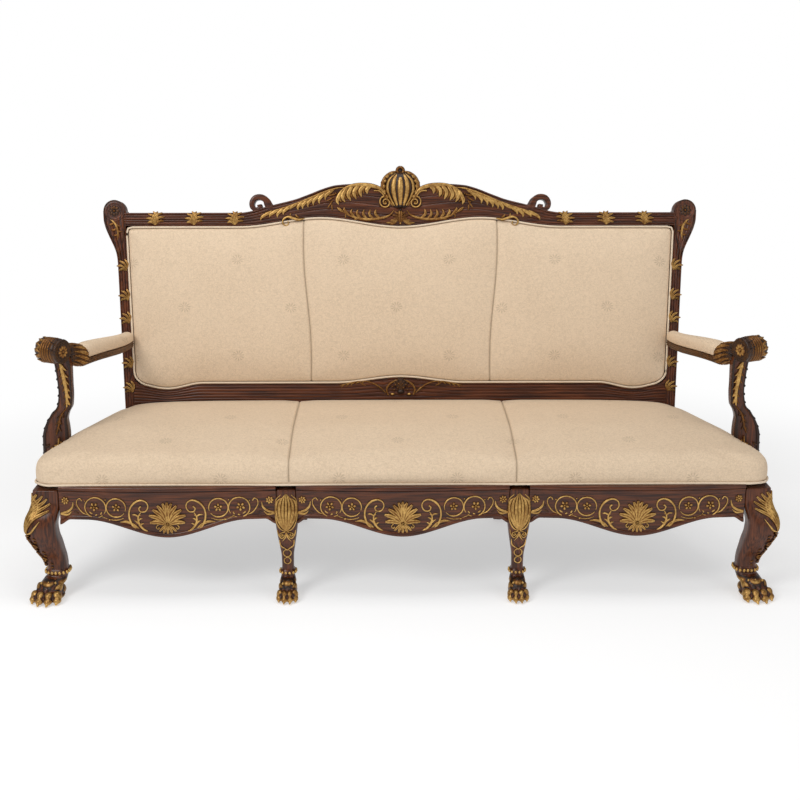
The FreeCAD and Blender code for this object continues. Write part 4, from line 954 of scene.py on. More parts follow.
tips = [
    (-47, 268), (-44, 286), (-36, 300), (-24, 309), (-10, 314), (6, 315), (21, 312), (34, 305), (44, 292),
    (49, 274), (48, 256),
]
fan(shells, outer.chart, (2.0, 203.0), tips, 13.0, 9.0, bow=0.16)
stroke(shells, outer.chart, [(2, 200), (-14, 208), (-24, 222), (-34, 240)], [4, 7, 6, 2], 7.0)
stroke(shells, outer.chart, [(2, 200), (16, 208), (28, 222), (38, 240)], [4, 7, 6, 2], 7.0)
for v, r, s in ((184.0, 11.0, 1), (160.0, 9.5, -1), (137.0, 8.5, 1), (116.0, 7.5, -1), (98.0, 6.0, 1)):
    volute(
        shells, outer.chart, (s * 5.0, v), r, 60 * s, -1.15 * s, 5.0, 8.0, 0.78,
        lead=[(-s * 8.0, v + 13.0), (-s * 2.0, v + 12.5)],
    )
    lobes(
        shells, outer.chart, [(-s * 9.0, v + 12.0), (-s * 12.0, v), (-s * 6.0, v - 11.0)],
        [(-s * 20.0, v + 2.0), (-s * 17.0, v - 8.0)], 6.0, 5.0, 0.7, start=0.3, end=0.8,
    )
# The sprig that runs from the knee on to the rail
stroke(shells, outer.chart, [(30, 214), (36, 226), (46, 238), (54, 246)], [5, 9, 8, 3], 6.0, groove=0.3)
shells.mirror()
place("knee_carving", shells, GOLD, ["knee_shells"], 0)

for share in np.linspace(-1, 1, 7):
    top = 312.0 - 9.0 * share * share
    wide = [3.0, 8.5, 9.5, 8.0, 2.0]
    path = [
        (3.0 * share, 206.0), (17.0 * share, 232.0), (25.5 * share, 262.0), (21.0 * share, 290.0),
        (7.0 * share, top),
    ]
    stroke(buds, inner.chart, path, wide, [3.0, 7.0, 8.5, 8.0, 3.0], 0.95, groove=0.2)
for s in (1, -1):
    stroke(
        buds, inner.chart,
        [(s * 2, 204), (s * 16, 214), (s * 27, 236), (s * 31, 262), (s * 27, 290), (s * 14, 310)],
        [3.0, 5.0, 5.0, 4.5, 4.0, 2.0], 5.0,
    )
    volute(buds, inner.chart, (s * 12.0, 194.0), 7.0, 90, -s * 1.1, 3.4, 5.0, lead=[(s * 3.0, 204.0)])
    stroke(
        buds, inner.chart, [(0, 200), (s * 12, 182), (s * 22, 194), (s * 25, 208)], [3.0, 4.0, 4.0, 2.0],
        4.5,
    )
    stroke(buds, inner.chart, [(0, 200), (s * 3, 186), (s * 12, 172)], [3.0, 5.0, 1.8], 4.5)
    stroke(
        buds, inner.chart, [(s * 20, 176), (s * 17, 158), (s * 5, 148), (0, 142)], [2.0, 4.2, 4.0, 3.0],
        4.2,
    )
for v, r in ((134.0, 10.0), (110.0, 8.5)):
    a = np.radians(np.linspace(90, 450, 26))
    stroke(
        buds, inner.chart, [(r * math.cos(t), v + 1.15 * r * math.sin(t)) for t in a], 3.6, 4.5, step=1.5,
    )
dome(buds, inner.chart, 0.0, 200.0, 5.0, 7.0)
buds.mirror()
place("leg_bud_carving", buds, GOLD, ["leg_buds"], 0)

for leg, z, count, size in ((outer, OUTER_COLLAR[0], 20, 4.2), (inner, INNER_COLLAR[0], 14, 3.6)):
    for k in range(count):
        angle = np.array([2 * math.pi * k / count])
        p = leg.ring(np.array([z]), angle, 5.2)[0]
        ball(beads, p, (size, size, 1.3 * size), gilt=1.0, around=10, rings=7)
for (x, y, wide, deep, turn), z in ((OUTER_PAW, 52.0), (INNER_PAW, 48.0)):
    for a in (-0.2, 0.0, 0.2):
        ball(beads, (x + a * wide, y - 0.02 * deep - 6.0, z), (3.2, 3.2, 4.4), gilt=1.0, around=10, rings=7)
beads.mirror()
place("collar_beads", beads, GOLD, [], 0)
claws.mirror()
place("paw_claws", claws, GOLD, [], 0)


# The raked back: across, height up the slope from its foot line, and how far forward of the frame's face
def back(u, h, out):
    u = np.asarray(u, float) + 0 * h
    y = SEAT_DEPTH + h * math.sin(RAKE) - out * math.cos(RAKE)
    z = BACK_FOOT + h * math.cos(RAKE) + out * math.sin(RAKE)
    return np.stack([u, y + 0 * u, z + 0 * u], -1)


STILE_FOOT = 869.0
STILE_SPREAD = 17.0
STILE_TALL = 461.0
STILE_WIDE = 31.0
FIELD_TOP = 535.0
FIELD_FOOT = 42.0
FIELD_TALL = FIELD_TOP - FIELD_FOOT


def stile_outer(h):
    return STILE_FOOT + STILE_SPREAD * h / STILE_TALL


def stile_inner(h):
    return stile_outer(h) - STILE_WIDE


def field_top(u):
    return FIELD_TOP + 28.0 * bump(np.abs(u), 250.0, 250.0)


def field_foot(u):
    return FIELD_FOOT + 19.0 * bump(u, 0.0, 205.0) - 18.0 * bump(np.abs(u), 733.0, 110.0)


CREST_U = (0, 40, 70, 101, 150, 201, 226, 251, 276, 301, 326, 352, 377, 402, 432, 470, 502, 600, 860)
CREST_H = (
    652, 655, 659, 663, 665.5, 662, 656, 647.5, 637.5, 628, 619, 612, 606, 600, 592, 581, 577, 577, 577,
)


def crest_top(u):
    return through(CREST_U, CREST_H, np.abs(u))


def reeded(tall, count, proud, low_bead, high_bead):
    # Distance along the face, and how far it stands out, for a bead, a row of reeds and a bead
    turn = np.linspace(0, math.pi, 7)
    s = list(low_bead / 2 * (1 - np.cos(turn)))
    out = list((proud + 1.2) * np.sin(turn))
    pitch = (tall - low_bead - high_bead) / count
    for k in range(count):
        start = low_bead + pitch * k
        s += list(start + pitch / 2 * (1 - np.cos(turn)))
        out += list(proud * np.sin(turn) ** 0.9 + 0.3)
    s += list(tall - high_bead + high_bead / 2 * (1 - np.cos(turn)))
    out += list((proud + 1.0) * np.sin(turn))
    return np.array(s), np.array(out)


def reeded_section(low, high, count, proud, low_bead=5.5, high_bead=6.5):
    # A closed section from low to high: the reeded face, then the flat rear
    s, out = reeded(high - low, count, proud, low_bead, high_bead)
    return np.concatenate([low + s, [high, low]]), np.concatenate([out, [-FRAME_DEPTH, -FRAME_DEPTH]])


wood = Form()
ends = stile_inner(550.0) + 4.0
us = np.concatenate(
    [
        np.linspace(-ends, -440, 40, endpoint=False), np.linspace(-440, 440, 150),
        np.linspace(440, ends, 41)[1:],
    ]
)
loops = []
for u in us:
    low, high = field_top(u) + 0.5, crest_top(u)
    loops.append(back(u, *reeded_section(low, high, 4, 3.2)))
wood.grid(loops, wrap=True)
for sign in (1, -1):
    spine = [
        (344.1, 567.5), (375.1, 570.6), (399.9, 581.8), (412.3, 600.4), (420.4, 616.5), (435.9, 625.8),
        (453.8, 623.4), (463.8, 609.7), (462.5, 594.2), (450.7, 586.8), (439.6, 591.7), (440.8, 602.3),
    ]
    line = spline(handed(sign, spine), 2.0)
    tangent = unit(np.gradient(line, axis=0))
    side = np.stack([-tangent[:, 1], tangent[:, 0]], -1)
    wide = lerp_list([3.0, 8.0, 12.0, 12.0, 9.5, 8.0, 7.5, 7.0, 7.0], len(line))[:, None]
    turn = np.linspace(0, math.pi, 9)
    across = np.concatenate([np.cos(turn), [-1.0, 1.0]])
    out = np.concatenate([3.0 * np.sin(turn) + 1.0, [-FRAME_DEPTH, -FRAME_DEPTH]])
    u = line[:, 0:1] + side[:, 0:1] * wide * across
    h = line[:, 1:2] + side[:, 1:2] * wide * across
    wood.grid(back(u, h, out + 0 * u), wrap=True)
place("crest_rail_wood", wood, WOOD_X, ["crest_rail"])

# Lower back rail, reeded, dipping at the middle to a small shell
wood = Form()
loops = []
for u in np.linspace(-stile_inner(0.0) - 3, stile_inner(0.0) + 3, 200):
    notch = 4.0 * np.exp(-(((abs(u) - 53.0) / 9.0) ** 2))
    high, low = field_foot(u) - 0.5 - notch, -25.0
    loops.append(back(u, *reeded_section(low, high, 6, 2.6, 4.0, 5.0)))
wood.grid(loops, wrap=True)
corner = 34.0
for sign in (1, -1):
    # The filleted lower corners of the opening
    edge = stile_inner(60.0)
    a = np.radians(np.linspace(0, 90, 14))
    cu, ch = edge - corner, field_foot(edge - corner) + corner
    arc_u = cu + corner * np.cos(-a)
    arc_h = ch + corner * np.sin(-a)
    rim = [back(sign * arc_u, arc_h, np.full(14, o)) for o in (-FRAME_DEPTH, 0.0, 2.5)]
    rim += [back(sign * (cu + (corner + 5) * np.cos(-a)), ch + (corner + 5) * np.sin(-a), np.full(14, 2.5))]
    rim += [back(sign * np.full(14, edge + 4.0), np.full(14, ch - corner - 4.0), np.full(14, 0.5))]
    wood.grid(rim)
place("back_lower_rail_wood", wood, WOOD_X, ["back_lower_rail"])

# Posts: reeded stiles with scrolled ears, and swept rear legs
EAR_H = (380.0, 430.0, 452.0, 470.0, 492.0, 512.0, 533.0, 556.0, 583.0)
EAR_OUT = (883.0, 885.5, 889.0, 895.0, 905.0, 914.0, 922.0, 927.0, 928.0)


def ear_outer(h):
    return np.where(h < 385.0, stile_outer(h), through(EAR_H, EAR_OUT, h))


wood = Form()
loops = []
for h in np.linspace(-118.0, 583.0, 170):
    near = stile_inner(min(h, 545.0)) - (1.5 if h > 545 else 0.0)
    far = float(ear_outer(np.array(h)))
    u, out = reeded_section(near, far, 3, 2.8, 4.0, 4.5)
    loops.append(back(u, np.full(len(u), h), out))
wood.grid([point_loop(loops[0])] + loops, wrap=True)
a = circle(56)
ear_u, ear_h = 893.0, 583.0
rim = []
for r, out in (
    (0.1, 3.0), (21.0, 3.0), (22.5, 4.2), (25.5, 5.0), (28.0, 4.0), (29.5, 4.2), (32.5, 4.0), (34.0, 1.5),
    (34.0, -FRAME_DEPTH), (0.1, -FRAME_DEPTH),
):
    rim.append(back(ear_u + r * np.cos(a), ear_h + r * np.sin(a), np.full(56, out)))
wood.grid(rim, wrap=True)
# The rear leg below the seat
loops = []
for z in np.linspace(3.0, 330.0, 50):
    share = max(0.0, 1.0 - z / 246.0)
    y = SEAT_DEPTH + (RAIL_TOP - BACK_FOOT) * math.tan(RAKE) + 22.5 + 118.0 * share**1.5
    half = (44.0 - 6.0 * share) / 2
    x = stile_outer(-100.0) - 22.0
    t = circle(32)
    r = (np.abs(np.cos(t)) ** 5 + np.abs(np.sin(t)) ** 5) ** (-0.2) * half
    loops.append(np.stack([x + r * np.cos(t), y + r * np.sin(t), np.full(32, z)], -1))
wood.grid(capped(loops), wrap=True)
place("rear_post_right_wood", wood, WOOD_Z, ["rear_post_right"])
place("rear_post_left_wood", wood.flipped(), WOOD_Z, ["rear_post_left"])

# Gilt carving of the back, drawn on the +X half and mirrored
gilt = Form()


def raised(lift):
    def chart(u, h, out):
        return back(u, h, out + lift)

    return chart


face = raised(3.0)
# Leaf wraps on the top rail and on the stiles
for u in (514.6, 641.7, 762.6):
    low = field_top(u) + 3.0
    high = crest_top(u) + 2.5
    span = high - low
    tips = [
        (u - 27, low + 0.62 * span), (u - 20, low + 0.95 * span), (u - 6, high + 1), (u + 9, high + 1.5),
        (u + 24, low + 0.86 * span), (u + 31, low + 0.52 * span), (u + 26, low + 0.2 * span),
    ]
    fan(gilt, face, (u + 3, low + 1.0), tips, 8.5, 7.5, 0.97, bow=0.26)
    fan(
        gilt, face, (u + 3, low + 1.0), [(u - 14, low + 0.3 * span), (u - 24, low + 0.32 * span)], 7.0, 5.0,
        0.9, bow=0.2,
    )
for h in (412.55, 319.55, 248.25, 108.75, 31.25):
    x1 = stile_outer(h)
    x0 = stile_inner(h)
    tips = [
        (x0 + 9, h + 20), (x0 + 17, h + 19), (x0 + 25, h + 15), (x1 + 3.0, h + 8), (x1 + 3.5, h - 1),
        (x1 + 2.0, h - 10), (x1 - 3.0, h - 16),
    ]
    fan(gilt, face, (x0 + 4.0, h - 15.0), tips[::2] + tips[-1:], 8.0, 7.0, 0.97, bow=0.2)
# Ears: rosette, rolled edge and a leaf below
flower(gilt, face, ear_u, ear_h, 18.5, 8, 3.5, 0.62)
dome(gilt, face, ear_u, ear_h, 4.5, 6.0, 0.8)
stile_face = raised(2.5)
rolled = [
    (ear_u + 31.0 * math.cos(t), ear_h + 31.0 * math.sin(t)) for t in np.radians(np.linspace(150, -35, 24))
]
rolled += [(921.0, 548.0), (912.0, 522.0), (899.0, 498.0), (889.0, 476.0)]
stroke(gilt, stile_face, rolled, [2.5, 4.5, 5.0, 5.0, 5.0, 4.5, 3.0], 4.0, 0.5)
leaf_stem = [(906.0, 556.0), (895.0, 548.0), (886.0, 533.0), (882.0, 512.0), (884.0, 492.0)]
stroke(gilt, stile_face, leaf_stem, [3.0, 7.0, 8.5, 7.0, 2.0], 5.0, 0.9, groove=0.3)
lobes(
    gilt, stile_face, leaf_stem, [(912.0, 540.0), (905.0, 524.0), (897.0, 508.0)], 8.0, 4.5, 0.75,
    start=0.2, end=0.75,
)
lobes(gilt, stile_face, leaf_stem, [(870.0, 536.0), (868.0, 520.0)], 6.5, 4.0, 0.7, start=0.3, end=0.6)
stroke(
    gilt, stile_face, [(868.0, 560.0), (862.0, 540.0), (866.0, 500.0), (872.0, 470.0), (869.0, 440.0)],
    [2.0, 4.0, 4.5, 4.0, 2.0], 4.0, 0.5,
)
stroke(
    gilt, stile_face, [(893.0, 470.0), (880.0, 452.0), (876.0, 430.0), (872.0, 412.0)],
    [2.0, 5.0, 5.5, 2.0], 4.0, 0.55,
)

# Crest: a great leaf along the top edge, a second beyond it, and a spray along the foot
crest = raised(3.4)
stem = [
    (47.7, 633.9), (62, 649.4), (83.7, 658.1), (111.6, 662.4), (142.6, 661.8), (169, 654.4), (187.9, 640.7),
]
stroke(
    gilt, crest, stem, [7.0, 13.0, 15.0, 14.0, 12.0, 9.0, 4.0], [7.0, 8.0, 8.0, 7.5, 7.0, 6.0, 3.0], 0.95,
    groove=0.18,
)
tips = [(103.5, 635.1), (121.5, 625.2), (137.6, 617.8), (154.4, 613.4), (173, 609.1), (193.4, 601.6)]
lobes(gilt, crest, stem, tips, 15.5, 7.5, 0.97, 0.5, start=0.34, end=0.96)
lobes(
    gilt, crest, stem, [(113.5, 633.9), (130.2, 625.2), (146.9, 620.2), (164.3, 615.3), (182.9, 609.1)],
    9.0, 6.5, 0.8, 0.5, start=0.42, end=0.98,
)
volute(gilt, crest, (46.2, 608.2), 20.5, 75, -1.6, 6.0, 8.0, 0.95, lead=[(82.2, 644.4), (65.1, 642.6)])
for at, r in (((201.5, 635.8), 5.5), ((212, 623.4), 4.5), ((197.2, 619), 4.0), ((218.9, 609.7), 4.0)):
    dome(gilt, crest, at[0], at[1], r, 7.0, 0.8, squash=0.75, turn=0.8)
lobes(
    gilt, crest, [(189.1, 645), (207.7, 626.5), (213.9, 601.6)],
    [(228.2, 630.2), (233.1, 612.2), (228.8, 590.5), (212.7, 583)], 6.0, 5.0, 0.8, 0.2, start=0.3, end=1.0,
)
stem = [
    (173.6, 654.4), (192.2, 653.1), (217, 646.9), (244.9, 637), (275.9, 624), (310, 609.7), (344.1, 597.3),
    (378.2, 586.8), (408.6, 579.3),
]
stroke(
    gilt, crest, stem, [3.0, 7.0, 8.5, 9.0, 9.0, 8.5, 8.0, 7.0, 3.0],
    [4.0, 6.5, 7.0, 7.0, 7.0, 6.0, 6.0, 5.0, 3.0], 0.9,
)
tips = [
    (234.4, 615.9), (253, 604.1), (271.6, 598.5), (288.3, 592.4), (305, 588), (319.3, 584.3),
    (345.3, 586.8), (365.8, 570), (383.8, 561.4), (409.2, 562), (437.1, 552.7),
]
lobes(gilt, crest, stem, tips, 13.0, 7.0, 0.97, 0.55, start=0.14, end=0.97)
tips = [(241.8, 622.1), (261.6, 612.8), (279, 606.6), (297.6, 600.4), (314.3, 594.8)]
lobes(gilt, crest, stem, tips, 8.5, 6.0, 0.75, 0.55, start=0.2, end=0.62)
stem = [
    (20.5, 583.7), (32.2, 569.4), (55.8, 560.1), (89.9, 555.8), (124, 557.6), (155, 566.3), (182.9, 581.2),
]
stroke(gilt, crest, stem, [4.0, 8.0, 10.0, 10.0, 9.0, 8.0, 3.0], 6.0, 0.85)
lobes(
    gilt, crest, stem,
    [
        (76.3, 588), (94.2, 586.1), (112.8, 586.1), (132.1, 586.8), (151.9, 587.4), (175.5, 593.6),
        (197.2, 593.6),
    ],
    10.5, 6.5, 0.85, 0.5, start=0.3, end=0.98,
)
lobes(gilt, crest, stem, [(145.7, 553.3), (170.5, 560.1)], 6.0, 5.0, 0.85, 0.5, start=0.66, end=0.9)
# The curl that hangs over the cloth, beyond the crest
stem = [
    (299.5, 558.2), (318.1, 554.5), (334.8, 558.9), (352.2, 563.2), (365.8, 555.1), (367, 542.8),
    (357.7, 536.5), (349.1, 542.1), (352.2, 549.6),
]
stroke(gilt, raised(7.0), stem, [3.0, 7.0, 9.0, 9.0, 7.0, 6.0, 5.0, 4.0, 3.0], 6.5, 0.95, groove=0.2)
lobes(
    gilt, raised(7.0), [(303.8, 559.5), (331.7, 561.4), (350.3, 564.5)], [(327.4, 572.5), (342.9, 574.4)],
    6.0, 5.0, 0.85, start=0.3, end=0.8,
)
# Calyx, small leaves and beads below the bud
fan(gilt, crest, (4.3, 562.6), [(31, 552.7), (44.6, 544.6), (32.2, 539.6)], 6.5, 5.0, 0.92, bow=-0.15)
fan(gilt, crest, (1.2, 544.6), [(17.4, 580), (24.8, 569.4), (21.7, 558.2)], 8.0, 6.5, 0.8, bow=0.22)
gilt.mirror()
fan(gilt, crest, (0, 540.3), [(0, 587.4)], 15.0, 9.0, 0.85)
dome(gilt, crest, 0.0, 542.8, 4.5, 6.0)
for at, r in (
    ((0, 617.1), 7.0), ((-7.4, 606), 6.2), ((7.4, 606), 6.2), ((0, 597.3), 6.4), ((-10.5, 593.6), 4.6),
    ((10.5, 593.6), 4.6), ((0, 584.9), 5.0),
):
    dome(gilt, raised(5.0), at[0], at[1], r, 8.0, 0.28, 12, 5)
place(
    "crest_and_stile_carving", gilt, GOLD,
    ["crest_scroll_left", "crest_scroll_right", "ear_rosettes"], 0,
)

# The bud over the crest: a fluted body with a leaf round its edge and a looped top
bud = Form()
SHELL_H = (592.0, 606.0, 625.0, 650.0, 672.0, 690.0, 700.0, 704.0)
SHELL_HALF = (22.0, 27.0, 38.0, 49.0, 50.0, 42.0, 26.0, 4.0)
loops = []
around = circle(72)
for h in np.linspace(592.0, 704.0, 44):
    half = float(through(SHELL_H, SHELL_HALF, h))
    flute = 1.0 + 0.07 * np.abs(np.sin(3.5 * (around + math.pi / 2)))
    u = half * np.cos(around)
    out = 0.52 * half * np.sin(around) * flute * 1.15 - 6.0
    loops.append(back(u, np.full(72, h), out))
bud.grid(loops, 0.45, wrap=True)


def bud_chart(u, h, out):
    half = through(SHELL_H, SHELL_HALF, h)
    lean = np.clip(1.0 - (u / (half + 3.0)) ** 2, 0.0, 1.0) ** 0.5
    return back(u, h, out + 0.52 * half * lean - 5.0)


for share, wide in ((0.0, 21.0), (-0.38, 17.0), (0.38, 17.0), (-0.7, 10.0), (0.7, 10.0)):
    path = [
        (share * 26.0, 598.0), (share * 46.0, 622.0), (share * 58.0, 650.0), (share * 50.0, 676.0),
        (share * 22.0, 697.0),
    ]
    stroke(
        bud, bud_chart, path, np.array([0.45, 0.85, 1.0, 0.9, 0.3]) * wide, [5.0, 8.0, 9.0, 8.0, 3.0], 0.95,
        groove=0.12,
    )
for s in (1, -1):
    edge = [
        (s * 22.0, 598.0), (s * 40.0, 616.0), (s * 52.0, 640.0), (s * 55.0, 662.0), (s * 47.0, 684.0),
        (s * 30.0, 699.0), (s * 13.0, 704.0),
    ]
    stroke(bud, back, edge, [7.0, 12.0, 14.0, 14.0, 13.0, 11.0, 6.0], 10.0, 0.8, groove=0.3)
    lobes(
        bud, back, edge,
        [
            (s * 38.0, 632.0), (s * 43.0, 646.0), (s * 44.0, 660.0), (s * 40.0, 674.0), (s * 32.0, 687.0),
            (s * 20.0, 695.0),
        ],
        11.0, 13.0, 0.9, 0.3, start=0.22, end=0.86,
    )
    lobes(
        bud, back, edge, [(s * 58.0, 634.0), (s * 62.0, 656.0), (s * 58.0, 676.0), (s * 44.0, 694.0)], 13.0,
        8.0, 0.7, 0.3, start=0.2, end=0.75,
    )
loop = [(10.0 * math.sin(t), 707.0 + 10.0 * math.cos(t)) for t in np.linspace(0, 2 * math.pi, 30)]
stroke(bud, back, loop, 10.0, 9.0, 0.75)
dome(bud, back, 0.0, 707.0, 7.0, 3.0, 0.25)
dome(bud, back, 0.0, 697.0, 8.0, 9.0, 0.8)
place("crest_bud", bud, GOLD, ["crest_shell"], 0)

# Lower rail: sprays of leaves towards a pearled shell
low = Form()
lower = raised(2.8)
for sign in (1, -1):
    stem = handed(sign, ((46.5, 11.4), (62, 26.9), (83.7, 40.6), (108.5, 48), (133.3, 48.6)))
    stroke(low, lower, stem, [3.0, 5.5, 5.5, 4.0, 2.5], 4.5, 0.8)
    stem = handed(sign, ((114.7, 51.1), (139.5, 48.6), (164.3, 42.4), (192.2, 35)))
    stroke(low, lower, stem, [3.0, 5.0, 5.0, 2.0], 4.5, 0.85)
    lobes(
        low, lower, stem, handed(sign, ((141.4, 38.1), (156.9, 34.3), (171.7, 30.6), (186, 28.1))), 5.0,
        4.0, 0.85, 0.5, start=0.1, end=0.8,
    )
    lobes(low, lower, stem, handed(sign, ((119.7, 37.4), (108.5, 34.3))), 4.5, 4.0, 0.8, start=0.0, end=0.2)
    hook = handed(sign, ((39.1, 5.2), (44.6, 21.9), (37.2, 37.4), (21.7, 48.6), (9.3, 52.9)))
    stroke(low, lower, hook, [5.0, 7.5, 7.5, 6.0, 3.0], 7.0, 0.8, groove=0.25)
    stroke(low, lower, handed(sign, ((46.5, 9.5), (58.9, 20.1), (74.4, 26.9))), [3.0, 4.5, 2.0], 4.0, 0.55)
    dome(low, lower, sign * 26, 8.3, 8.0, 7.0, 1.0, squash=0.6)
    for a, b in ((6.2, 40.6), (16.7, 37.4), (26, 31.2), (9.3, 28.1), (20.5, 21.9)):
        dome(low, raised(5.5), sign * a, b, 3.6, 4.5, 0.75, 10, 3)
fan(
    low, lower, (0, 12.6), [(-24, 46), (-17, 55), (-8, 60), (0, 61.5), (8, 60), (17, 55), (24, 46)], 9.5,
    7.0, 0.55, bow=0.1,
)
dome(low, lower, 0.0, 15.8, 12.0, 9.0, 0.5, squash=0.7)
place("lower_rail_carving", low, GOLD, ["lower_rail_cartouche"], 0)


# Arms: a padded rail, a leaf-wrapped collar and a ringed hand roll
ARM_HIGH = 655.0
ARM_REAR = 628.0
ARM_TAPER = 21.0
ARM_BOW = 1.7
ARM_THICK = 22.0
POST_X = 843.3 + STILE_SPREAD * 181.4 / STILE_TALL + 2.2
POST_Y = SEAT_DEPTH + (ARM_REAR - BACK_FOOT) * math.tan(RAKE)
ARM_END = (930.0, 205.0)
ROLL = np.array([985.0, 136.0, 693.0])
ROLL_TURN = math.radians(29.0)
ROLL_AXIS = np.array([-math.cos(ROLL_TURN), -math.sin(ROLL_TURN), 0.0])
ROLL_SIDE = np.array([math.sin(ROLL_TURN), -math.cos(ROLL_TURN), 0.0])
ROLL_RADIUS = 35.0
ROLL_CAP = 37.0
UP = np.array([0.0, 0.0, 1.0])


def arm_rail(share, a, b):
    # A point at a share of the way forward, a outward of the rail's middle and b above its top
    share = np.asarray(share, float) + 0 * a
    x = POST_X + (ARM_END[0] - POST_X) * np.maximum(share, 0.0) ** ARM_BOW
    y = POST_Y + (ARM_END[1] - POST_Y) * share
    z = ARM_REAR + (ARM_HIGH - ARM_REAR) * smooth(share)
    slope = ARM_BOW * (
        ARM_END[0] - POST_X
    ) * np.maximum(share, 0.02) ** (ARM_BOW - 1.0) / (ARM_END[1] - POST_Y)
    size = np.sqrt(1.0 + slope**2)
    return np.stack([x + a / size, y - a * slope / size, z + b], -1)


def roll_point(angle, along, radius):
    # Round the roll's axis: angle nothing is forward, a quarter turn is up
    around = np.cos(angle)[..., None] * ROLL_SIDE + np.sin(angle)[..., None] * UP
    return ROLL + along[..., None] * ROLL_AXIS + radius[..., None] * around


def barrel(u, v, out):
    # v runs round the roll, u along it from the outer end
    radius = ROLL_RADIUS + out
    return roll_point(v / ROLL_RADIUS + 0 * u, u + 0 * v, radius)


def cap(u, v, out):
    # The flat outer end of the roll
    return (
        ROLL + (ROLL_CAP + out)[..., None] * ROLL_AXIS + (u + 0 * v)[..., None] * ROLL_SIDE
        + (v + 0 * u)[..., None] * UP
    )


def super_loop(wide, tall, power, count):
    t = circle(count)
    r = (
        np.abs(np.cos(t) / (wide / 2)) ** power + np.abs(np.sin(t) / (tall / 2)) ** power
    ) ** (-1.0 / power)
    return r * np.cos(t), r * np.sin(t)


arm = Form()
loops = []
for share in np.linspace(0.0, 1.0, 60):
    wide = 50.0 - ARM_TAPER * (1.0 - share)
    a, b = super_loop(wide, ARM_THICK, 5.0, 48)
    # Two fine beads run along each side of the rail
    b_share = b / (ARM_THICK / 2)
    a = a + np.sign(a) * 1.1 * (np.cos(b_share * 3.0 * math.pi) - 1.0) * (np.abs(b_share) < 0.95)
    loops.append(arm_rail(share, a, b - ARM_THICK / 2))
arm.grid(capped(loops), 0.6, wrap=True)

END_SLOPE = ARM_BOW * (ARM_END[0] - POST_X) / (ARM_END[1] - POST_Y)
ACROSS = np.array([1.0, -END_SLOPE, 0.0]) / math.hypot(1.0, END_SLOPE)
COLLAR_AT = np.array([ARM_END[0], ARM_END[1], ARM_HIGH - ARM_THICK + 30.0])
COLLAR_TO = ROLL - COLLAR_AT


def neck_size(t):
    ts = (-0.12, 0.0, 0.08, 0.16, 0.26, 0.38, 0.55, 0.75, 0.95)
    wide = through(ts, (50.0, 60.0, 62.0, 60.0, 54.0, 52.0, 49.0, 46.0, 44.0), t)
    tall = through(ts, (40.0, 56.0, 60.0, 60.0, 57.0, 54.0, 50.0, 47.0, 44.0), t)
    return wide, tall


def neck(u, v, out):
    # v runs from the pad to the roll as a share of the way, u round the neck in turns from straight in
    wide, tall = neck_size(v + 0 * u)
    angle = u * 2 * math.pi
    r = (
        np.abs(np.cos(angle) / (wide / 2)) ** 3.0 + np.abs(np.sin(angle) / (tall / 2)) ** 3.0
    ) ** (-1.0 / 3.0) + out
    return (
        COLLAR_AT + (v + 0 * u)[..., None] * COLLAR_TO - (r * np.cos(angle))[..., None] * ACROSS
        + (r * np.sin(angle))[..., None] * UP
    )


turns = np.linspace(0, 1, 56, endpoint=False)
loops = [neck(turns, np.full(56, t), np.zeros(56)) for t in np.linspace(-0.12, 0.95, 40)]
arm.grid(capped(loops), 0.56, wrap=True)


NECK_ROUND = 190.0
NECK_LONG = 92.0


def on_neck(u, v, out):
    # Millimetres round and along the neck, for carving
    return neck(u / NECK_ROUND, v / NECK_LONG, out)


# Leaves of the collar, turned back from the pad, with a row of beads on its rim
for k in range(14):
    u = NECK_ROUND * (k + 0.5) / 14
    stroke(
        arm, on_neck, [(u, 42.0), (u + 1.5, 26.0), (u, 10.0), (u - 1.0, -6.0)], [3.0, 9.0, 12.0, 7.0],
        [2.5, 5.0, 6.0, 4.0], 0.85, groove=0.35,
    )
    stroke(arm, on_neck, [(u + 6.8, 34.0), (u + 6.8, 18.0), (u + 6.8, 2.0)], [2.0, 5.0, 3.0], 4.0, 0.6)
for k in range(30):
    dome(arm, on_neck, NECK_ROUND * k / 30, -8.5, 3.1, 3.8, 0.9, 8, 3)
for k in range(9):
    u = NECK_ROUND * (k + 0.5) / 9
    volute(arm, on_neck, (u, 54.0), 6.5, 90, 1.2, 3.2, 4.2, 0.5, lead=[(u + 8.0, 44.0)], eye=False)

# The hand roll: a flat cap, a smooth band, then ridges that turn round a domed end
angles = circle(96)
profile = [
    (37.0, 0.5), (37.0, 24.0), (38.2, 26.5), (37.6, 29.0), (38.4, 31.5), (37.0, 34.0), (34.5, 35.2),
    (30.5, 34.0), (27.5, 33.4), (24.0, 35.4), (21.0, 36.2), (18.0, 35.2),
]
for k in range(4):
    start = 15.5 - 8.4 * k
    profile += [(start, 34.2), (start - 2.0, 36.3), (start - 4.2, 37.2), (start - 6.4, 36.3)]
profile += [
    (-19.5, 34.5), (-24.0, 35.0), (-30.0, 34.0), (-37.0, 31.0), (-42.0, 26.0), (-45.5, 18.0), (-47.3, 9.0),
    (-47.5, 0.5),
]
loops = []
values = []
for along, radius in profile:
    twist = 0.02 * (ROLL_CAP - along)
    ridge = 1.5 * np.sin(9 * (angles + twist)) if along < -19 else 0.0 * angles
    share = min(1.0, radius / 30.0)
    loops.append(roll_point(angles, np.full(96, along), radius + ridge * share))
    if along < -19:
        # The ridges' crests get more gilt and the grooves less, so the grooves take darker glaze: painted
        # crevice shade along with real glaze
        values.append(0.62 + 0.3 * np.sin(9 * (angles + twist)))
    else:
        values.append(np.full(96, 0.74 if radius > 36.0 else 0.5))
arm.grid(loops, np.array(values), wrap=True)
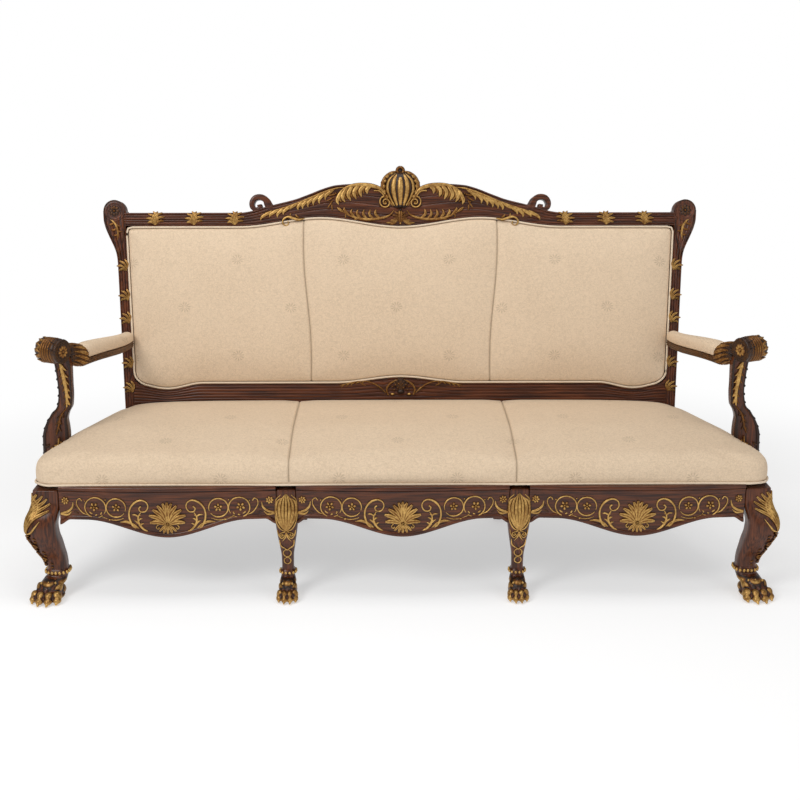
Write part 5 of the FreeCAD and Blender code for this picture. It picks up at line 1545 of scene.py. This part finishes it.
for k in range(13):
    v = 2 * math.pi * ROLL_RADIUS * k / 13
    stroke(
        arm, barrel, [(-17.0, v), (-26.0, v + 5.0), (-35.0, v + 8.0)], [4.0, 8.0, 4.0], [2.0, 3.5, 2.0],
        0.85,
    )
# A leaf that ties the roll to the neck
for v in (10.0, 30.0, 50.0):
    stroke(arm, barrel, [(28.0, v), (14.0, v + 4.0), (0.0, v + 12.0)], [3.0, 6.0, 2.0], 2.5, 0.35)
place("arm_right_wood", arm, WOOD_Y, ["arm_right"], 50)
place("arm_left_wood", arm.flipped(), WOOD_Y, ["arm_left"], 50)

roses = Form()
flower(roses, cap, 0.0, 0.0, 20.0, 9, 4.2, 0.95)
dome(roses, cap, 0.0, 0.0, 4.6, 5.6, 0.75)
roses.mirror()
place("arm_rosette_carving", roses, GOLD, ["arm_rosettes"], 0)

# Arm supports: a swept S with beaded edges, an acanthus down the front and a scalloped outer edge
SUPPORT_Z = (290.0, 336.0, 366.0, 400.0, 435.0, 458.0, 480.0, 502.0, 525.0, 575.0, 610.0, 648.0, 684.0)
SUPPORT_CX = (999.3, 999.3, 999.3, 998.6, 997.3, 995.0, 991.3, 981.0, 966.0, 960.0, 960.0, 961.0, 968.0)
SUPPORT_CY = (176.0, 176.0, 176.0, 176.0, 176.0, 176.0, 176.0, 173.0, 169.0, 164.0, 161.0, 158.0, 152.0)
SUPPORT_W = (54.0, 66.0, 72.0, 74.0, 74.0, 68.0, 56.0, 47.0, 41.0, 38.0, 40.0, 44.0, 46.0)
SUPPORT_D = (44.0, 50.0, 50.0, 49.0, 48.0, 46.0, 44.0, 43.0, 42.0, 40.0, 42.0, 44.0, 44.0)


def support_at(z):
    return [through(SUPPORT_Z, values, z) for values in (SUPPORT_CX, SUPPORT_CY, SUPPORT_W, SUPPORT_D)]


def support_face(u, v, out):
    # u across the front face as a share of its half width, v the height
    cx, cy, w, d = support_at(v)
    share = np.clip(np.abs(u), 0.0, 1.0)
    return np.stack([cx + u * w / 2, cy - (d / 2 + out) * (1.0 - 0.12 * share**4) + 0 * u, v + 0 * u], -1)


def in_mm(u, v, out):
    return support_face(u / (support_at(v)[2] / 2), v, out)


support = Form()
loops = []
t = circle(64)
for z in np.linspace(292.0, 684.0, 100):
    cx, cy, w, d = support_at(z)
    r = (np.abs(np.cos(t) / (w / 2)) ** 6 + np.abs(np.sin(t) / (d / 2)) ** 6) ** (-1 / 6)
    # Hollow panels between the edge beads
    x, y = r * np.cos(t), r * np.sin(t)
    panel = smooth((1.0 - np.abs(x) / (w / 2 - 5.0)) * 6.0) * (np.abs(y) > 0.8 * d / 2)
    y = y - np.sign(y) * 2.6 * panel
    loops.append(np.stack([cx + x, cy + y, np.full(64, z)], -1))
support.grid(capped(loops), wrap=True)
for s in (1, -1):
    stroke(
        support, support_face, [(0.88 * s, z) for z in np.linspace(372.0, 668.0, 12)], 0.26, 2.6, 0.28,
        step=8.0,
    )
# The acanthus
stroke(
    support, in_mm,
    [(6.0, 664.0), (3.0, 640.0), (-1.0, 610.0), (-4.0, 578.0), (-6.0, 548.0), (-8.0, 524.0)],
    [5.0, 12.0, 14.0, 12.0, 10.0, 5.0], 6.5, 0.97, groove=0.25,
)
for k in range(6):
    z = 650.0 - 21.0 * k
    x = 4.0 - 2.0 * k
    lobes(
        support, in_mm, [(x, z + 8.0), (x - 0.5, z)], [(x - 15.0 + k * 0.6, z - 16.0)], 8.0, 5.0, 0.95,
        start=0.5, end=0.9,
    )
    lobes(
        support, in_mm, [(x, z + 8.0), (x - 0.5, z)], [(x + 12.0 - k * 0.6, z - 18.0)], 6.5, 4.5, 0.7,
        start=0.5, end=0.9,
    )
stroke(
    support, in_mm, [(-8.0, 522.0), (-6.0, 500.0), (-8.0, 478.0), (-6.0, 456.0), (-2.0, 440.0)],
    [4.0, 8.0, 8.0, 7.0, 3.0], 4.5, 0.7, groove=0.2,
)
for k in range(3):
    z = 504.0 - 20.0 * k
    lobes(
        support, in_mm, [(-7.0, z + 6.0), (-7.0, z)], [(-17.0, z - 14.0), (3.0, z - 15.0)], 5.5, 4.0, 0.6,
        start=0.4, end=0.8,
    )
volute(support, in_mm, (6.0, 398.0), 13.0, 110, 1.3, 6.0, 7.0, 0.85, lead=[(-10.0, 432.0), (-8.0, 412.0)])
lobes(
    support, in_mm, [(-12.0, 430.0), (-18.0, 404.0), (-16.0, 380.0)],
    [(-28.0, 408.0), (-31.0, 386.0), (-26.0, 366.0)], 9.0, 6.0, 0.8, start=0.2, end=0.95,
)
lobes(
    support, in_mm, [(14.0, 420.0), (24.0, 396.0), (22.0, 374.0)], [(31.0, 404.0), (33.0, 380.0)], 8.0, 5.0,
    0.55, start=0.2, end=0.8,
)


def outer_edge(u, v, out):
    # The outer side of the support: u across it from front to back, v the height
    cx, cy, w = support_at(v)[:3]
    return np.stack([cx + w / 2 + out + 0 * u, cy + u + 0 * v, v + 0 * u], -1)


for z in np.linspace(644.0, 372.0, 12):
    # Scales of the leaf that wraps the outer edge
    stroke(
        support, outer_edge, [(-12.0, z), (0.0, z + 3.0), (12.0, z)], [10.0, 15.0, 10.0], [2.0, 3.6, 2.0],
        0.3,
    )
    stroke(support, outer_edge, [(-20.0, z - 12.0), (-9.0, z - 10.0)], [7.0, 9.0], [3.0, 2.0], 0.35)
place("arm_support_right_wood", support, WOOD_Z, ["arm_support_right"], 45)
place("arm_support_left_wood", support.flipped(), WOOD_Z, ["arm_support_left"], 45)


# Upholstery: padded covers are grids edged by rings, blown out against their seams by a short cloth simulation
STEPS = 20
SEAT_BASE = RAIL_TOP + 4.3
SEAM_X = 318.0
PAD_PROFILE = (
    (0.0, 1.0), (7.0, 0.99), (14.0, 0.965), (20.5, 0.92), (26.0, 0.85), (30.0, 0.74), (32.4, 0.6),
    (33.2, 0.45), (32.6, 0.3), (31.0, 0.16), (29.0, 0.06), (27.5, 0.0),
)


def rounded_corner(x, y, left, right, low, high, radius_low, radius_high):
    # Rounds the corners of a rectangle by the square-to-disc map within a radius of each
    for sx, edge_x in ((-1, left), (1, right)):
        for sy, edge_y, radius in ((-1, low, radius_low), (1, high, radius_high)):
            a = 1.0 - sx * (edge_x - x) / radius
            b = 1.0 - sy * (edge_y - y) / radius
            near = (a > 0) & (b > 0)
            a2, b2 = np.clip(a, 0, 1), np.clip(b, 0, 1)
            x = np.where(near, edge_x - sx * radius * (1.0 - a2 * np.sqrt(1.0 - b2**2 / 2)), x)
            y = np.where(near, edge_y - sy * radius * (1.0 - b2 * np.sqrt(1.0 - a2**2 / 2)), y)
    return x, y


def rim_of(count_a, count_b):
    # The border of a grid, in order
    index = np.arange(count_a * count_b).reshape(count_a, count_b)
    return np.concatenate([index[:-1, 0], index[-1, :-1], index[:0:-1, -1], index[0, :0:-1]])


def rim_normal(points):
    # The way out of a closed line at each of its points
    tangent = np.roll(points, -1, 0) - np.roll(points, 1, 0)
    tangent = (tangent + np.roll(tangent, 1, 0) + np.roll(tangent, -1, 0)) / 3
    normal = unit(np.stack([tangent[:, 1], -tangent[:, 0]], -1))
    middle = points.mean(0)
    far = np.argmax(np.abs(points[:, 0] - middle[0]))
    return normal if np.dot(normal[far], points[far] - middle) > 0 else -normal


def padded_mesh(name, top, rings):
    # A grid of points for the face, and loops of points for the sides
    rows_count, columns = top.shape[:2]
    points = [top.reshape(-1, 3)]
    faces = []
    index = np.arange(rows_count * columns).reshape(rows_count, columns)
    quads = np.stack([index[:-1, :-1], index[1:, :-1], index[1:, 1:], index[:-1, 1:]], -1).reshape(-1, 4)
    faces += quads.tolist()
    last = rim_of(rows_count, columns)
    start = rows_count * columns
    for ring in rings:
        points.append(ring)
        here = np.arange(start, start + len(ring))
        start += len(ring)
        faces += np.stack([last, here, np.roll(here, -1), np.roll(last, -1)], -1).tolist()
        last = here
    mesh = bpy.data.meshes.new(name)
    mesh.from_pydata(rows(np.vstack(points)).tolist(), [], faces)
    item = linked(name, mesh)
    face_outward(item)
    mesh.polygons.foreach_set("use_smooth", [True] * len(mesh.polygons))
    return item


def inflate(item, held, most, pressure=4.0):
    # Blow the cover out from the inside, hold the seams, and let no point move further than most
    before = coordinates(item.data)
    group = item.vertex_groups.new(name="held")
    group.add([int(i) for i in np.flatnonzero(held)], 1.0, "REPLACE")
    cloth = item.modifiers.new("Cloth", "CLOTH")
    settings = cloth.settings
    settings.quality = 6
    settings.mass = 0.35
    settings.tension_stiffness = 12.0
    settings.compression_stiffness = 12.0
    settings.shear_stiffness = 6.0
    settings.bending_stiffness = 0.6
    settings.vertex_group_mass = "held"
    settings.use_pressure = True
    settings.uniform_pressure_force = pressure
    settings.effector_weights.gravity = 0.0
    cloth.point_cache.frame_start = 1
    cloth.point_cache.frame_end = STEPS
    for frame in range(1, STEPS + 1):
        bpy.context.scene.frame_set(frame)
    ready = item.evaluated_get(bpy.context.evaluated_depsgraph_get())
    after = coordinates(ready.data)
    item.modifiers.remove(cloth)
    item.vertex_groups.remove(group)
    move = after - before
    far = np.linalg.norm(move, axis=1)[:, None] + 1e-9
    limit = most / 1000.0
    item.data.vertices.foreach_set(
        "co", (before + move / far * limit * np.tanh(far / limit)).astype(np.float32).ravel(),
    )
    bpy.context.scene.frame_set(1)


def refine(item):
    select_only(item)
    item.modifiers.new("Smooth", "SUBSURF").levels = 1
    bpy.ops.object.modifier_apply(modifier="Smooth")


def close_floor(item):
    # The flat underside that lies on the webbing
    work = bmesh.new()
    work.from_mesh(item.data)
    bmesh.ops.holes_fill(work, edges=[edge for edge in work.edges if edge.is_boundary], sides=0)
    work.to_mesh(item.data)
    work.free()


def finish_pad(item, material, nodes):
    close_floor(item)
    item.data.materials.append(material)
    dress(item, nodes)


def cord(name, line, radius, material, nodes, closed=False, pitch=0.0):
    # A covered cord swept along a line of points in the photo frame
    form = Form()
    sweep(form, line, radius, closed, pitch)
    place(name, form, material, nodes, 0)


def sweep(form, line, radius, closed, pitch=0.0, around=8):
    line = np.asarray(line, float)
    run = np.concatenate([[0], np.cumsum(np.linalg.norm(np.diff(line, axis=0), axis=1))])
    if closed:
        tangent = np.roll(line, -1, 0) - np.roll(line, 1, 0)
    else:
        tangent = np.gradient(line, axis=0)
    tangent = unit(tangent)
    guide = np.array([0.13, 0.21, 1.0]) if abs(tangent[:, 2]).mean() < 0.7 else np.array([0.0, 1.0, 0.1])
    side = unit(np.cross(tangent, guide))
    over = np.cross(side, tangent)
    t = circle(around)
    size = radius * (1.0 + (0.06 * np.sin(2 * math.pi * run / pitch) if pitch else 0.0 * run))
    loops = line[:, None] + size[:, None, None] * (
        np.cos(t)[None, :, None] * side[:, None] + np.sin(t)[None, :, None] * over[:, None]
    )
    if closed:
        loops = np.concatenate([loops, loops[:1]])
    form.grid(loops, wrap=True)


# Seat: three panels over one crowned pad
SEAT_REAR = SEAT_DEPTH + (SEAT_BASE - BACK_FOOT) * math.tan(RAKE) - 1.0
SEAT_INSET = 29.0


def seat_tall(share):
    front = 74.0
    return front + (106.0 - front) * smooth(share / 0.45) - 2.0 * smooth((share - 0.6) / 0.4)


def seat_height(x, y):
    share = np.clip(y / SEAT_REAR, 0, 1)
    tall = seat_tall(share)
    away = side_x(y) - np.abs(x)
    lost = through(
        (20, 33, 46, 75, 120, 200, 330, 600, 1100), (0.62, 0.44, 0.34, 0.22, 0.14, 0.07, 0.03, 0.01, 0.0),
        away,
    )
    near = through((0, 30, 60, 110, 200), (4.5, 2.2, 1.0, 0.3, 0.0), y)
    seam = 3.2 * np.exp(-(((np.abs(x) - SEAM_X) / 34.0) ** 2))
    rear = 1.5 * np.exp(-(((y - SEAT_REAR) / 22.0) ** 2))
    return tall - (tall - 60.0) * lost - near - seam - rear


def seat_columns(step, fine):
    # Column places as shares of the half width, closer together at the seams
    inner = side_x(0.0) - SEAT_INSET
    plain_part = np.linspace(-inner, inner, int(2 * inner / step))
    keep = np.abs(np.abs(plain_part) - SEAM_X) > step * 0.75
    extra = np.concatenate(
        [s * SEAM_X + np.array([-2 * fine, -fine, 0.0, fine, 2 * fine]) for s in (-1, 1)]
    )
    return np.sort(np.concatenate([plain_part[keep], extra])), inner


columns, inner_half = seat_columns(13.0, 3.5)
ys = np.concatenate(
    [np.linspace(SEAT_INSET, 75.0, 5, endpoint=False), np.linspace(75.0, SEAT_REAR - 12.0, 34)]
)
gx, gy = np.meshgrid(columns, ys)
half = side_x(gy) - SEAT_INSET
beyond = np.clip((np.abs(gx) - SEAM_X) / (inner_half - SEAM_X), 0, 1)
gx = np.sign(gx) * np.where(np.abs(gx) > SEAM_X, SEAM_X + (half - SEAM_X) * beyond, np.abs(gx))
edge_left, edge_right = -half[:, :1], half[:, :1]
gx, gy = rounded_corner(gx, gy, edge_left, edge_right, SEAT_INSET, SEAT_REAR - 12.0, 20.0, 12.0)
top = np.stack(
    [
        gx, gy + (seat_height(gx, gy) * math.tan(RAKE) * smooth((gy - 200.0) / 300.0)),
        SEAT_BASE + seat_height(gx, gy),
    ],
    -1,
)
rim = rim_of(len(ys), len(columns))
flat_rim = np.stack([gx, gy], -1).reshape(-1, 2)[rim]
normal = rim_normal(flat_rim)
rim_height = top.reshape(-1, 3)[rim][:, 2] - SEAT_BASE
rear_share = smooth((flat_rim[:, 1] - (SEAT_REAR - 40.0)) / 26.0)
rings = []
for off, share in PAD_PROFILE[1:]:
    out = off * (1.0 - 0.62 * rear_share * (np.abs(normal[:, 1]) > 0.5))
    lean = rim_height * share * math.tan(RAKE) * smooth((flat_rim[:, 1] - 200.0) / 300.0)
    rings.append(
        np.stack(
            [
                flat_rim[:, 0] + normal[:, 0] * out, flat_rim[:, 1] + normal[:, 1] * out + lean,
                SEAT_BASE + rim_height * share,
            ],
            -1,
        )
    )
seat = padded_mesh("seat_cushion_cover", top, rings)
co = coordinates(seat.data)
low_part = co[:, 2] * 1000.0 < SEAT_BASE + 9.0
on_seam = np.abs(np.abs(co[:, 0] * 1000.0) - SEAM_X) < 1.0
behind = co[:, 1] * 1000.0 > FACE_Y + SEAT_REAR - 8.0
inflate(seat, low_part | on_seam | behind, most=9.0)
refine(seat)


def sew(item, distance, depth, wide):
    # Sink a sewn line by its distance in millimetres, and mark it for the cloth, which paints shade along the
    # crease
    mesh = item.data
    co = coordinates(mesh)
    away = distance(co * 1000.0)
    fall = np.exp(-((away / wide) ** 2))
    co -= vertex_rows(mesh, "normal") * (fall * depth / 1000.0)[:, None]
    mesh.vertices.foreach_set("co", co.astype(np.float32).ravel())
    seam_shade_mark = mesh.attributes.new("seam", "FLOAT", "POINT")
    seam_shade_mark.data.foreach_set("value", np.exp(-((away / (0.55 * wide)) ** 2)).astype(np.float32))


sew(seat, lambda p: np.where(p[:, 2] > SEAT_BASE + 3.0, np.abs(np.abs(p[:, 0]) - SEAM_X), 99.0), 3.6, 3.4)
finish_pad(seat, DAMASK, ["seat_cover", "seat_stuffing"])

# Piping along the seat's foot
outline = flat_rim + rim_normal(flat_rim) * 30.5
front_part = outline[outline[:, 1] < SEAT_REAR - 60.0]
order = np.argsort(np.arctan2(front_part[:, 0], -(front_part[:, 1] - 400.0)))
line = front_part[order]
line = spline(np.column_stack([line, np.full(len(line), RAIL_TOP + 2.4)])[::2], 6.0)
cord("seat_cord", line, 3.4, CORD, ["seat_piping"], pitch=9.0)

# Back: a crowned panel of three parts inside its piping
BACK_MARGIN = 7.5


def back_edge_half(h):
    return stile_inner(h) - BACK_MARGIN


back_inner = back_edge_half(0.0)
plain_part = np.linspace(-back_inner, back_inner, 118)
SEAM_BACK = 291.0
keep_part = np.abs(np.abs(plain_part) - SEAM_BACK) > 10.0
columns = np.sort(
    np.concatenate(
        [plain_part[keep_part]] + [s * SEAM_BACK + np.array([-7.0, -3.5, 0.0, 3.5, 7.0]) for s in (-1, 1)]
    )
)
shares = np.linspace(0, 1, 42)
gu, gs = np.meshgrid(columns, shares)


def seam_line(share):
    # The back seams lean a little and sway
    return 281.0 + 21.0 * share - 5.0 * np.sin(2 * math.pi * share)


seam_now = seam_line(gs)
inside = np.abs(gu) / SEAM_BACK * seam_now
gh_guess = FIELD_FOOT + gs * FIELD_TALL
outside_u = (
    seam_now + (back_edge_half(gh_guess) - seam_now) * (np.abs(gu) - SEAM_BACK) / (back_inner - SEAM_BACK)
)
gu2 = np.sign(gu) * np.where(np.abs(gu) < SEAM_BACK, inside, outside_u)
low_line = field_foot(gu2) + BACK_MARGIN
high_line = field_top(gu2) - BACK_MARGIN
gh = low_line + (high_line - low_line) * gs
edge = back_edge_half(gh)
gu2, gh = rounded_corner(gu2, gh, -edge, edge, low_line, high_line, 30.0, 9.0)


def crown(u, h):
    # Three shallow swells between the seams, falling off at the piping
    share = np.clip((h - field_foot(u)) / (field_top(u) - field_foot(u)), 0, 1)
    seam_u = seam_line(share)
    lift = 17.0 * np.clip(1.0 - (2 * share - 1) ** 4, 0, 1) ** 0.7
    side = np.clip((back_edge_half(h) - np.abs(u)) / 120.0, 0, 1)
    lift = lift * np.sin(side * math.pi / 2) ** 0.7
    return lift - 4.5 * np.exp(-(((np.abs(u) - seam_u) / 30.0) ** 2)) * np.clip(lift / 17.0, 0, 1)


edge_drop = np.minimum.reduce([edge - np.abs(gu2), gh - low_line, high_line - gh])
roll = 4.0 * np.sqrt(np.clip(1.0 - (1.0 - np.clip(edge_drop / 9.0, 0, 1)) ** 2, 0, 1))
top = back(gu2, gh, 0.5 + roll + crown(gu2, gh))
rim = rim_of(len(shares), len(columns))
flat_rim = np.stack([gu2, gh], -1).reshape(-1, 2)[rim]
out_way = rim_normal(flat_rim)
rings = []
for off, drop in ((0.8, -1.5), (1.0, -4.0), (0.6, -9.0), (0.0, -16.0)):
    ring = flat_rim + out_way * off
    rings.append(back(ring[:, 0], ring[:, 1], drop))
back_pad = padded_mesh("back_cushion_cover", top, rings)
count_top = gu2.size
held = np.ones(len(back_pad.data.vertices), bool)
flat_u = gu2.ravel()
free = (edge_drop.ravel() > 4.0) & (np.abs(np.abs(flat_u) - seam_line(gs.ravel())) > 1.5)
held[:count_top] = ~free
inflate(back_pad, held, most=8.0)
refine(back_pad)


def back_coordinates(p):
    y = p[:, 1] - FACE_Y - SEAT_DEPTH
    z = p[:, 2] - BACK_FOOT
    return p[:, 0], y * math.sin(RAKE) + z * math.cos(RAKE)


def back_seam(p):
    u, h = back_coordinates(p)
    share = (h - field_foot(u) - BACK_MARGIN) / (field_top(u) - field_foot(u) - 2 * BACK_MARGIN)
    return np.abs(np.abs(u) - seam_line(np.clip(share, 0, 1)))


sew(back_pad, back_seam, 3.2, 3.2)
finish_pad(back_pad, DAMASK, ["back_cover", "back_stuffing", "back_webbing"])
ring = flat_rim + out_way * 4.4
line = back(ring[:, 0], ring[:, 1], 3.4)
cord("back_cord", line, 3.1, CORD, ["back_piping"], closed=True)

# Arm pads
for side, name in ((1, "right"), (-1, "left")):
    loops = []
    shares = np.concatenate(
        [
            np.linspace(0.012, 0.12, 9, endpoint=False), np.linspace(0.12, 0.86, 26),
            np.linspace(0.86, 0.985, 10)[1:],
        ]
    )
    for share in shares:
        round_end = min(
            1.0, math.sqrt(max(0.0, 1.0 - (1.0 - min(1.0, (share - 0.005) / 0.10)) ** 2)),
            math.sqrt(max(0.0, 1.0 - (1.0 - min(1.0, (0.99 - share) / 0.12)) ** 2)) * 0.35 + 0.65,
        )
        thick = (30.0 + 12.0 * share) * (0.35 + 0.65 * round_end)
        wide = (60.0 - ARM_TAPER * (1.0 - share)) * (0.62 + 0.38 * round_end)
        t = np.linspace(0, math.pi, 21)
        a = wide / 2 * np.cos(t)
        b = thick * np.sin(t) ** 0.62
        a = a * (0.9 + 0.1 * np.sin(t) ** 0.5)
        under = np.linspace(-1, 1, 9)[1:-1] * wide / 2 * 0.9
        a = np.concatenate([a, under])
        b = np.concatenate([b, np.zeros(7)]) + 0.4
        loops.append(arm_rail(share, a, b))
    form = Form()
    form.grid(capped(loops), wrap=True)
    if side < 0:
        form = form.flipped()
    pad = linked("arm_cushion_" + name, form.mesh("arm_cushion_" + name))
    face_outward(pad)
    co = coordinates(pad.data) * 1000.0
    along = np.clip((POST_Y - (co[:, 1] - FACE_Y)) / (POST_Y - ARM_END[1]), 0, 1)
    rail_z = ARM_REAR + (ARM_HIGH - ARM_REAR) * smooth(along)
    inflate(pad, co[:, 2] < rail_z + 3.0, most=4.0, pressure=3.0)
    refine(pad)
    finish_pad(pad, DAMASK, ["arm_pad_" + name])


# Outside back: a cloth stretched over the rear of the frame, edged with a braided gimp
OUTSIDE_LAP = 12.0
REAR_FACE = -FRAME_DEPTH - 1.2
gu, gs = np.meshgrid(np.linspace(-1.0, 1.0, 90), np.linspace(0.0, 1.0, 34))
guess_h = field_foot(0.0) + gs * FIELD_TALL
gu = gu * (stile_inner(guess_h) + OUTSIDE_LAP)
low_line = field_foot(gu) - OUTSIDE_LAP
high_line = field_top(gu) + OUTSIDE_LAP
gh = low_line + (high_line - low_line) * gs
edge = stile_inner(gh) + OUTSIDE_LAP
gu, gh = rounded_corner(gu, gh, -edge, edge, low_line, high_line, 46.0, 4.0)
near_edge = np.minimum.reduce([edge - np.abs(gu), gh - low_line, high_line - gh])
swell = 1.6 * smooth((near_edge - OUTSIDE_LAP) / 40.0)
pull = 0.5 * np.exp(-near_edge / 26.0) * np.sin(gu / 9.0) * np.sin(gh / 9.5)
grid_points = back(gu, gh, REAR_FACE - 0.8 - swell + pull)
rim = rim_of(*gu.shape)
edge_line = np.stack([gu, gh], -1).reshape(-1, 2)[rim]
outside = padded_mesh("outside_back_cloth", grid_points, [])
outside.data.materials.append(DAMASK)
dress(outside, ["outside_back_cover"])

gimp = Form()
inward = -rim_normal(edge_line)
for offset in (2.0, 7.0):
    ring = edge_line + inward * offset
    sweep(gimp, back(ring[:, 0], ring[:, 1], REAR_FACE - 1.6), 1.5, closed=True)
dense = spline(np.vstack([edge_line, edge_line[:1]]), 1.6)[:-1]
dense_in = -rim_normal(dense)
run = np.arange(len(dense)) * 1.6
for phase in (0.0, math.pi):
    ring = dense + dense_in * (4.5 + 3.0 * np.sin(run / 11.0 * 2 * math.pi + phase))[:, None]
    lift = REAR_FACE - 2.0 - 0.6 * np.cos(run / 11.0 * 4 * math.pi + phase)
    sweep(gimp, back(ring[:, 0], ring[:, 1], lift), 1.0, closed=True, around=6)
place("outside_back_braid", gimp, CORD, ["outside_back_gimp"], 0)

# Dust cover: a thin black cloth tacked under the seat, sagging a little
DUST_Z = 247.0
rear_rail_face = SEAT_DEPTH + (RAIL_TOP - BACK_FOOT) * math.tan(RAKE) + 4.0
post_face = SEAT_DEPTH + (DUST_Z - BACK_FOOT) * math.tan(RAKE) - 2.0
gx, gy = np.meshgrid(
    np.linspace(-1.0, 1.0, 80),
    np.concatenate([np.linspace(33.0, post_face, 26), [post_face + 0.5, rear_rail_face - 0.5]]),
)
half = np.minimum(OUTER_LEG[0] - 38.0, side_x(gy) - 34.0)
half = np.where(gy > post_face, 818.0, half)
sag = 5.0 * (1.0 - gx**4) * np.sin(np.clip((gy - 33.0) / (rear_rail_face - 33.0), 0, 1) * math.pi)
pucker = 0.7 * np.sin(gx * half / 14.0) * np.exp(-(gy - 33.0) / 40.0)
dust = padded_mesh("dust_cover_cloth", np.stack([gx * half, gy, DUST_Z - sag + pucker], -1), [])
dust.data.materials.append(LINING)
dress(dust, ["dust_cover"])


# CAD pieces that stay as they are, with their finishes
FINISHES = {
    "show_wood": WOOD_X,
    "frame_wood": BEECH,
    "gilding": GOLD,
    "damask": DAMASK,
    "piping": CORD,
    "stuffing": WADDING,
    "webbing": JUTE,
    "lining": LINING,
    "steel": STEEL,
    "glide": FELT,
}
for part in frame["record"]["subparts"]:
    node = frame["nodes"].get(part["node"])
    if node:
        node.data.materials.clear()
        node.data.materials.append(FINISHES[part["material_slot"]])
# The rear rail shows from behind, so it is stained like the frame
frame["nodes"]["rear_seat_rail"].data.materials[0] = WOOD_X


# Floor, backdrop, light and camera
WHITE = (1.0, 1.0, 1.0, 1.0)
FLOOR_LIGHT = (0.59, 0.59, 0.59, 1.0)
FLOOR_DARK = (0.575, 0.575, 0.575, 1.0)
FLOOR_GLOW = 0.5
FADE_START = 1.3
FADE_END = 2.6


def mix_shaders(tree, share, first, second):
    item = tree.nodes.new("ShaderNodeMixShader")
    for socket, value in zip(item.inputs, (share, first, second)):
        tree.links.new(value, socket)
    return item.outputs[0]


def white_floor():
    n = Nodes("studio_floor")
    grain = n.noise(n.place(), 40.0, 2.0)
    white = n.mix(n.ramp(grain, 0.3, 0.7, 0.0, 0.06), FLOOR_LIGHT, FLOOR_DARK)
    material = n.finish(
        Base_Color=white, Roughness=0.9, Specular_IOR_Level=0.0, Emission_Color=WHITE,
        Emission_Strength=FLOOR_GLOW,
    )
    # Beyond the shadow the floor turns plain white for the camera, so that no horizon shows
    away = n.node(
        "ShaderNodeVectorMath", {"operation": "LENGTH"}, out=1, Vector=n.node("ShaderNodeTexCoord", out=3),
    )
    path = n.node("ShaderNodeLightPath", out=0)
    far = n.times(n.ramp(away, FADE_START, FADE_END), path)
    glow = n.node("ShaderNodeEmission", Color=WHITE, Strength=1.0)
    output = next(item for item in n.tree.nodes if item.type == "OUTPUT_MATERIAL")
    plain_shader = output.inputs["Surface"].links[0].from_socket
    n.tree.links.new(mix_shaders(n.tree, far, plain_shader, glow), output.inputs["Surface"])
    return material


bpy.ops.mesh.primitive_plane_add(size=60.0, location=(0.0, 0.0, 0.0))
floor = bpy.context.active_object
floor.name = "studio_floor"
floor.data.materials.append(white_floor())

world = bpy.data.worlds.new("studio")
bpy.context.scene.world = world
world.use_nodes = True
tree = world.node_tree
background = tree.nodes["Background"]
background.inputs["Color"].default_value = WHITE
background.inputs["Strength"].default_value = 0.34
seen = tree.nodes.new("ShaderNodeBackground")
seen.inputs["Color"].default_value = WHITE
seen.inputs["Strength"].default_value = 1.0
path = tree.nodes.new("ShaderNodeLightPath")
blend = mix_shaders(tree, path.outputs["Is Camera Ray"], background.outputs[0], seen.outputs[0])
tree.links.new(blend, tree.nodes["World Output"].inputs["Surface"])


def lamp(name, place_at, aim, size, power, tall=None):
    light = bpy.data.lights.new(name, "AREA")
    light.shape = "RECTANGLE"
    light.size = size
    light.size_y = tall or size
    light.energy = power
    item = linked(name, light)
    item.location = place_at
    toward = np.subtract(aim, place_at)
    flat = math.hypot(toward[0], toward[1])
    item.rotation_euler = (math.atan2(flat, -toward[2]), 0.0, math.atan2(-toward[0], toward[1]))


lamp("key", (-2.4, -3.2, 3.4), (0.0, 0.0, 0.5), size=1.6, power=88.0)
lamp("fill", (2.8, -3.0, 2.2), (0.0, 0.0, 0.5), size=2.4, power=22.0)
lamp("top", (0.0, -0.4, 3.6), (0.0, 0.1, 0.3), size=3.0, power=38.0, tall=1.6)

# The photograph's camera: metres in front of the rail's face, metres up, and degrees down
CAMERA_AWAY = 3.6
CAMERA_UP = 1.537
CAMERA_TILT = 14.86
camera_data = bpy.data.cameras.new("camera")
camera_data.lens = 61.0
camera_data.sensor_width = 36.0
camera = linked("camera", camera_data)
camera.location = (-0.0456, -CAMERA_AWAY + FACE_Y / 1000.0, CAMERA_UP)
camera.rotation_euler = (math.radians(90.0 - CAMERA_TILT), 0.0, math.radians(-0.6))
bpy.context.scene.camera = camera
bpy.context.scene.view_settings.view_transform = "Standard"
